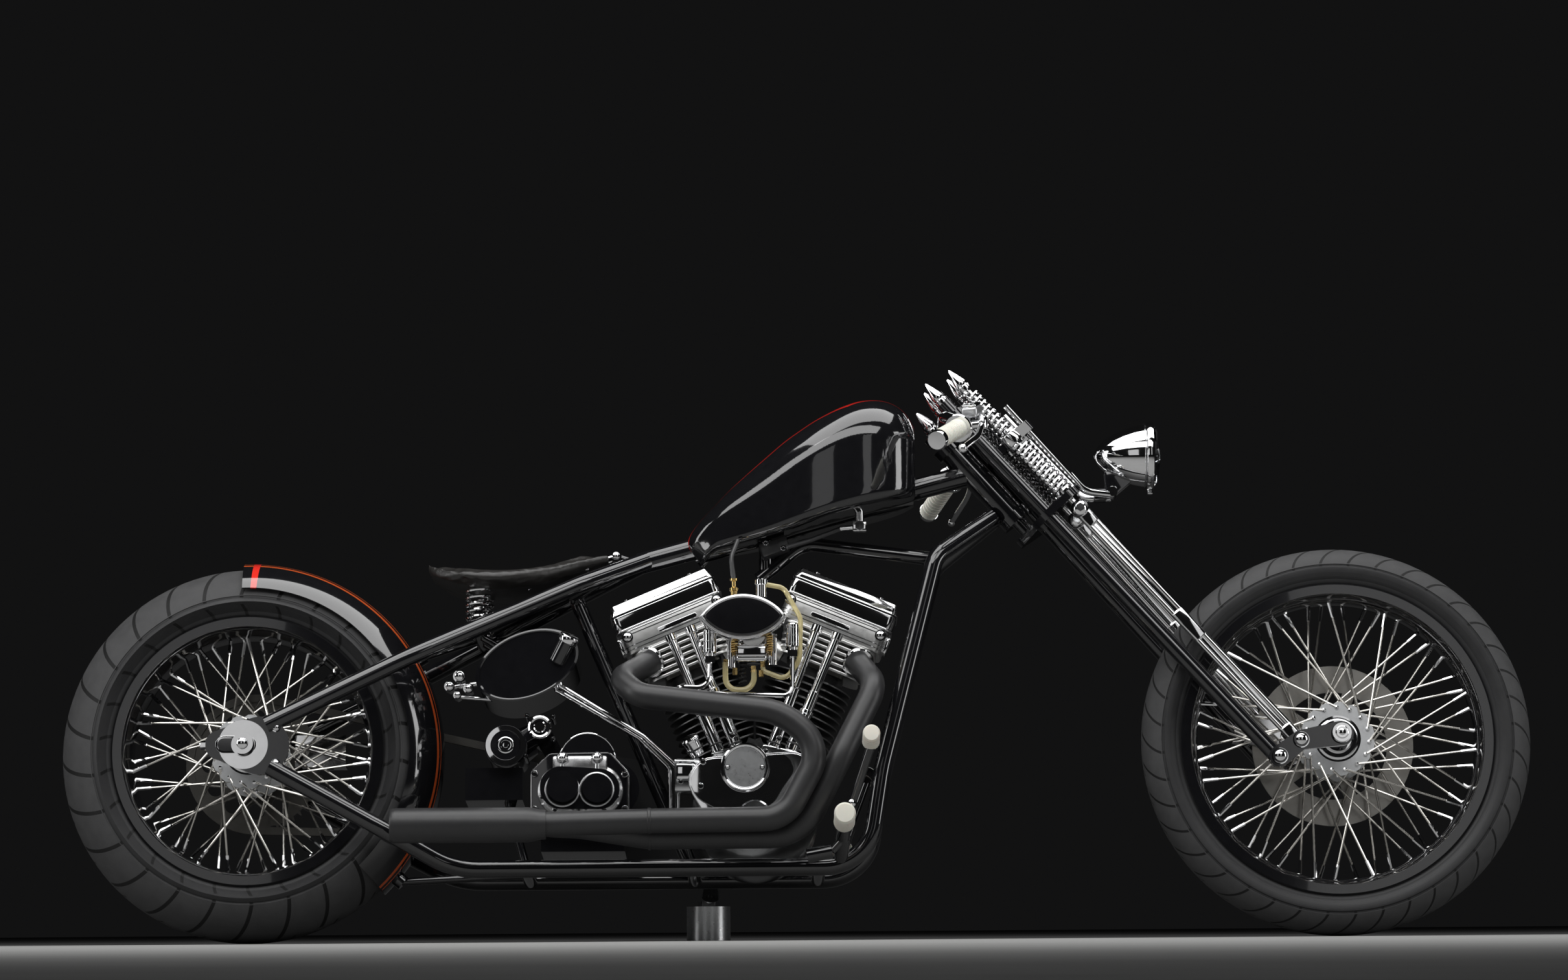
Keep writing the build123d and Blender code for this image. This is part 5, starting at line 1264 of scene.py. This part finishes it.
class CHOPPER_OT_controls(bpy.types.Operator):
    """Make the grips, the foot pegs and pedal pads, and the lever ends"""
    bl_idname = "chopper.controls"
    bl_label = "Controls"

    def execute(self, context):
        grips, pegs, levers = Shape(), Shape(), Shape()
        for side in SIDES:
            inner, outer = on_fork(1, side * 250, 73), on_fork(-62, side * 372, 68)
            along, length = toward(inner, outer), (outer - inner).length
            grips.add(turned([(12.8, 0), (25, 0), (26, 2), (26, 6), (24, 8.5), (12.8, 8.5)], 32, closed=True),
                      "chrome", along)
            section = [(12.8, 8), (18, 8), (18, 14)]
            for i in range(11):
                h = 16 + i * 9.4
                section += [(17.2, h), (17.2, h + 6.8), (16, h + 7.4), (16, h + 8.8)]
            section += [(17.6, length - 12), (12.8, length - 12)]
            grips.add(turned(section, 28, closed=True), "cream", along)
            grips.add(turned([(0, length - 12), (18.4, length - 12), (18.4, length - 6), (16, length - 1),
                              (0, length)], 28), "chrome", along)
            way = (outer - inner).normalized()
            root, tip = inner - way * 24, outer + Vector((46, 0, -14))
            hinge = root + Vector((34, 0, 4))
            levers.add(turned([(12.9, 0), (17, 0), (18, 2), (18, 20), (17, 22), (12.9, 22)], 32, closed=True),
                       "chrome", toward(root - way * 11, root))
            levers.add(bar(root, hinge, 9.5, 8, sides=16), "chrome")
            levers.add(turned([(0, -11), (9, -11), (10, -9.5), (10, 9.5), (9, 11), (0, 11)], 24), "chrome",
                       Matrix.Translation(hinge))
            levers.add(tube([hinge, hinge.lerp(tip, 0.5) + Vector((10, 0, 0)), tip], 5.6, 160, 14), "chrome")
            levers.add(ball(8.5, 8), "chrome", Matrix.Translation(tip))
            along_grip = way.to_track_quat("Y", "Z").to_matrix().to_4x4()
            body = Matrix.Translation(root + Vector((16, 0, 27))) @ along_grip
            levers.add(block((30, 40, 20), 6, 4), "brushed", body)
            levers.add(slab(28, 38, 6, 9, 13, round_by=1), "chrome", body)
            for n in SIDES:
                levers.add(cap_screw(2.6, 2.6), "polished", body @ moved(0, n * 13, 13))
            levers.add(dome_nut(6, 7), "chrome", Matrix.Translation(hinge + Vector((0, 0, 10))))
            face = outward(side)
            peg = [(0, 206), (17.5, 206), (19, 208), (19, 214)]
            for i in range(8):
                y = 218 + i * 12.6
                peg += [(18.6, y), (18.6, y + 9.4), (17, y + 10.2), (17, y + 12)]
            peg += [(18.8, 321), (18.8, 324), (0, 324)]
            peg_at = moved(1066, 0, 187) @ face
            pegs.add(turned(peg, 28), "cream", peg_at)
            pegs.add(turned([(0, 323), (19, 323), (19, 330), (16, 335), (0, 336)], 28), "cream", peg_at)
            pad_at = toward((1114, side * 224, 326), (1114, side * 304, 330))
            pad = [(0, 2), (14.6, 2), (15.6, 5)]
            for i in range(5):
                h = 8 + i * 12.4
                pad += [(15.4, h), (15.4, h + 9), (14.2, h + 10), (14.2, h + 11.6)]
            pad += [(15.4, 72), (15.4, 84), (13, 88), (0, 89)]
            pegs.add(turned(pad, 24), "cream", pad_at)
            pegs.add(dome_nut(7, 8), "chrome", moved(1080, side * 199, 221) @ face)
        grips.place("ribbed_grips", "fork", "cream_rubber", ["grips"])
        levers.place("hand_levers", "fork", "chrome", ["levers"])
        pegs.place("ribbed_pegs", "frame", "cream_rubber", ["foot_pegs"])
        return {"FINISHED"}


class CHOPPER_OT_exhaust(bpy.types.Operator):
    """Make the two bent pipes that merge ahead of the muffler"""
    bl_idname = "chopper.exhaust"
    bl_label = "Exhaust"

    def execute(self, context):
        pipes, silencer = Shape(), Shape()
        rear = [(728, -44, 502), (668, -150, 452), (704, -194, 416), (960, -200, 384), (1028, -200, 318),
                (960, -208, 193), (736, -208, 191), (600, -206, 188), (520, -206, 186)]
        front = [(1088, -44, 502), (1126, -140, 440), (1062, -176, 310), (988, -166, 168), (720, -170, 167),
                 (600, -196, 184), (548, -204, 186)]
        pipes.add(tube(rear, 22.2, [44, 44, 120, 62, 62, 400, 400], 24), "pipe")
        pipes.add(tube(front, 22.2, [60, 120, 90, 160, 200], 24), "pipe")
        weld = [(20, -3), (22.4, -3), (23.3, -2), (23.3, 2), (22.4, 3), (20, 3)]
        for y, z in ((-208, 191), (-170, 167)):
            pipes.add(turned(weld, 32, closed=True), "pipe", moved(722, y, z) @ ALONG_X)
        for spot, way in (((722, -54, 498), (690, -110, 470)), ((1093, -56, 494), (1110, -100, 466))):
            pipes.add(turned([(18, 0), (28, 0), (29, 2), (29, 7), (27, 9), (18, 9)], 28, closed=True),
                      "chrome", toward(spot, way))
        pipes.place("merging_pipes", "frame", "satin_black_pipe", ["exhaust_pipes"])
        shell = [(20, 540), (25.6, 540), (26.4, 536), (26.4, 531), (28, 524), (31, 508), (31, 275), (30, 268),
                 (28, 265), (25.8, 266), (25.2, 270), (25.2, 355), (0, 355)]
        silencer.add(turned(shell, 44), "pipe", moved(0, -206, 186) @ ALONG_X)
        silencer.place("open_muffler", "frame", "satin_black_pipe", ["muffler"])
        return {"FINISHED"}


TANK_ROWS = (  # place along the tank, height of the solid's top there, rise of the finished top
    (745, 720, -28), (775, 752, -28), (805, 784, -27), (840, 806, -15), (872, 826, 0), (915, 854, 12),
    (960, 889, 14), (1005, 930, 5), (1050, 961, -3), (1110, 979, -4), (1160, 976, -4), (1185, 967, -10),
    (1205, 955, -26), (1230, 940, -40))
TANK_TAIL, TAIL_RUN, TAIL_SLANT, TAIL_DROP = 850.0, 72.0, 38.0, 16.0
FOOT_X, FOOT_Z, FOOT_RISE = 778.0, 692.0, 0.237      # a point of the tank's lower edge, and the edge's slope


def tank_row(x):
    """Smooth values of the tank's table at a place along it."""
    i = max(1, min(len(TANK_ROWS) - 3, sum(row[0] <= x for row in TANK_ROWS) - 1))
    a, b, c, d = TANK_ROWS[i - 1:i + 3]
    t = (x - b[0]) / (c[0] - b[0])
    found = []
    for k in (1, 2):
        start = (c[k] - a[k]) / (c[0] - a[0]) * (c[0] - b[0])
        end = (d[k] - b[k]) / (d[0] - b[0]) * (c[0] - b[0])
        square, cube = 3 * (c[k] - b[k]) - 2 * start - end, 2 * (b[k] - c[k]) + start + end
        found.append(b[k] + start * t + square * t * t + cube * t ** 3)
    return found


class CHOPPER_OT_tank(bpy.types.Operator):
    """Make the fuel tank with its straight back and slanted tail"""
    bl_idname = "chopper.tank"
    bl_label = "Tank"

    def execute(self, context):
        bm = merged("fuel_tank")
        bmesh.ops.transform(bm, matrix=BIKE.inverted(), verts=bm.verts)
        for vertex in bm.verts:
            x, y, z = vertex.co
            top, rise = tank_row(x)
            foot = FOOT_Z + (x - FOOT_X) * FOOT_RISE
            share = min(1.0, max(0.0, (z - foot) / (top - foot)))
            tail = max(0.0, (TANK_TAIL - x) / TAIL_RUN) ** 1.5
            vertex.co = (x + TAIL_SLANT * tail * (1 - share), y,
                         z + rise * share - TAIL_DROP * tail * (1 - share))
        Shape().add(bm, "tank").place("teardrop_tank", "frame", "gloss_black", ["fuel_tank"])
        return {"FINISHED"}


AXLE_PLATE_Y = 156


class CHOPPER_OT_fittings(bpy.types.Operator):
    """Make the axle adjusters, the oil filler, the fuel tap and small bolts"""
    bl_idname = "chopper.fittings"
    bl_label = "Fittings"

    def execute(self, context):
        axle, tanks = Shape(), Shape()
        for side in SIDES:
            face = outward(side)
            lift = side * AXLE_PLATE_Y
            plate = moved(0, lift, REAR_Z) @ face
            for grow, high, paint in ((15.5, 1.6, "chrome"), (11.5, 2.2, "plastic")):
                oval = hull((-34, 0, grow), (8, 0, grow), low=0, high=high, round_by=0.5)
                axle.add(oval, paint, plate)
            axle.add(turned([(0, 0), (44, 0), (44, 1.4), (0, 1.4)], 48), "chrome", plate)
            axle.add(turned([(0, 0), (21, 0), (21, 2.4), (0, 2.4)], 32), "chrome",
                     moved(0, lift + side * 2, REAR_Z) @ face)
            axle.add(bar((0, lift + side * 4, REAR_Z), (0, lift + side * 17, REAR_Z), 18, sides=6), "chrome")
            axle.add(dome_nut(10, 12, 20), "chrome", moved(0, lift + side * 16, REAR_Z) @ face)
            axle.add(bar((-78, side * 150, REAR_Z), (-16, side * 150, REAR_Z), 4.2, sides=10), "chrome")
            axle.add(bar((-76, side * 150, REAR_Z), (-67, side * 150, REAR_Z), 8, sides=6), "chrome")
            for x, z in ((58, REAR_Z + 30), (58, REAR_Z - 34)):
                axle.add(dome_nut(6, 6), "chrome", moved(x, lift, z) @ face)
            axle.add(dome_nut(9, 10), "chrome", moved(798, side * 99, 119) @ face)
        axle.place("axle_adjusters", "frame", "chrome")
        neck = toward((556, -106, 492), (580, -122, 536))
        tanks.add(turned([(0, 0), (15, 0), (15, 42), (0, 42)], 28), "enamel", neck)
        tanks.add(turned([(0, 40), (17.5, 40), (18.4, 42), (18.4, 50), (16.5, 53), (0, 54)], 32), "chrome",
                  neck)
        for x, z, r in ((362, 452, 9), (380, 470, 11), (396, 448, 9), (376, 436, 7)):
            tanks.add(bar((x, -82, z), (x, -40, z), r, sides=6), "chrome")
            tanks.add(dome_nut(r * 0.8, r), "chrome", moved(x, -81, z) @ RIGHT)
        tanks.add(bar((362, -60, 452), (430, -60, 462), 5, sides=12), "chrome")
        tanks.add(bar((376, -60, 436), (440, -60, 430), 4, sides=12), "chrome")
        tanks.place("oil_filler", "frame", "chrome", ["oil_filler_cap"])
        tap = Shape()
        tap.add(bar((1100, -50, 741), (1100, -50, 776), 8, sides=16), "chrome")
        tap.add(block((26, 22, 20), 3), "chrome", moved(1100, -50, 742))
        tap.add(bar((1100, -50, 742), (1064, -54, 738), 5, sides=12), "chrome")
        tap.add(bar((1100, -66, 742), (1100, -50, 742), 9, sides=6), "polished")
        tap.add(tube([(1066, -54, 738), (1010, -60, 716), (968, -70, 702)], 4.5, 40, 10), "plastic")
        tap.add(block((52, 46, 26), 4), "plastic",
                moved(946, -26, 708) @ Matrix.Rotation(math.radians(-20), 4, "Y"))
        for x, z in ((930, 714), (962, 704)):
            tap.add(cap_screw(5, 5), "chrome", moved(x, -49, z) @ RIGHT)
        tap.place("fuel_tap", "frame", "chrome")
        oil = Shape()
        ellipse = (moved(502, 0, 485) @ RIGHT @ Matrix.Rotation(math.radians(22), 4, "Z")
                   @ Matrix.Diagonal((95 / 60, 58 / 60, 1, 1)))
        oil.add(turned([(56, 111), (60.4, 108), (60.9, 110), (60.9, 113.4), (58, 114.4), (56, 113)], 60,
                       closed=True), "enamel", ellipse)
        oil.place("oil_tank_bead", "frame", "gloss_black")
        return {"FINISHED"}


OPERATORS = [CHOPPER_OT_finishes, CHOPPER_OT_wheels, CHOPPER_OT_engine, CHOPPER_OT_induction,
             CHOPPER_OT_drive, CHOPPER_OT_fork, CHOPPER_OT_saddle, CHOPPER_OT_lamp, CHOPPER_OT_controls,
             CHOPPER_OT_exhaust, CHOPPER_OT_tank, CHOPPER_OT_fittings, CHOPPER_OT_studio]


class CHOPPER_PT_panel(bpy.types.Panel):
    """Lists the pieces of the machine in the order they are made"""
    bl_idname = "CHOPPER_PT_panel"
    bl_label = "Long-fork chopper"
    bl_space_type = "VIEW_3D"
    bl_region_type = "UI"
    bl_category = "Chopper"

    def draw(self, context):
        for operator in OPERATORS:
            self.layout.operator(operator.bl_idname)


CLASSES = [ChopperColours, ChopperSizes, ChopperStage, *OPERATORS, CHOPPER_PT_panel]


def register():
    for cls in CLASSES:
        bpy.utils.register_class(cls)
    bpy.types.Scene.chopper_colours = PointerProperty(type=ChopperColours)
    bpy.types.Scene.chopper_sizes = PointerProperty(type=ChopperSizes)
    bpy.types.Scene.chopper_stage = PointerProperty(type=ChopperStage)


def unregister():
    del bpy.types.Scene.chopper_stage
    del bpy.types.Scene.chopper_sizes
    del bpy.types.Scene.chopper_colours
    for cls in reversed(CLASSES):
        bpy.utils.unregister_class(cls)


def main():
    register()
    for operator in OPERATORS:
        group, name = operator.bl_idname.split(".")
        getattr(getattr(bpy.ops, group), name)()


if __name__ == "__main__":
    main()
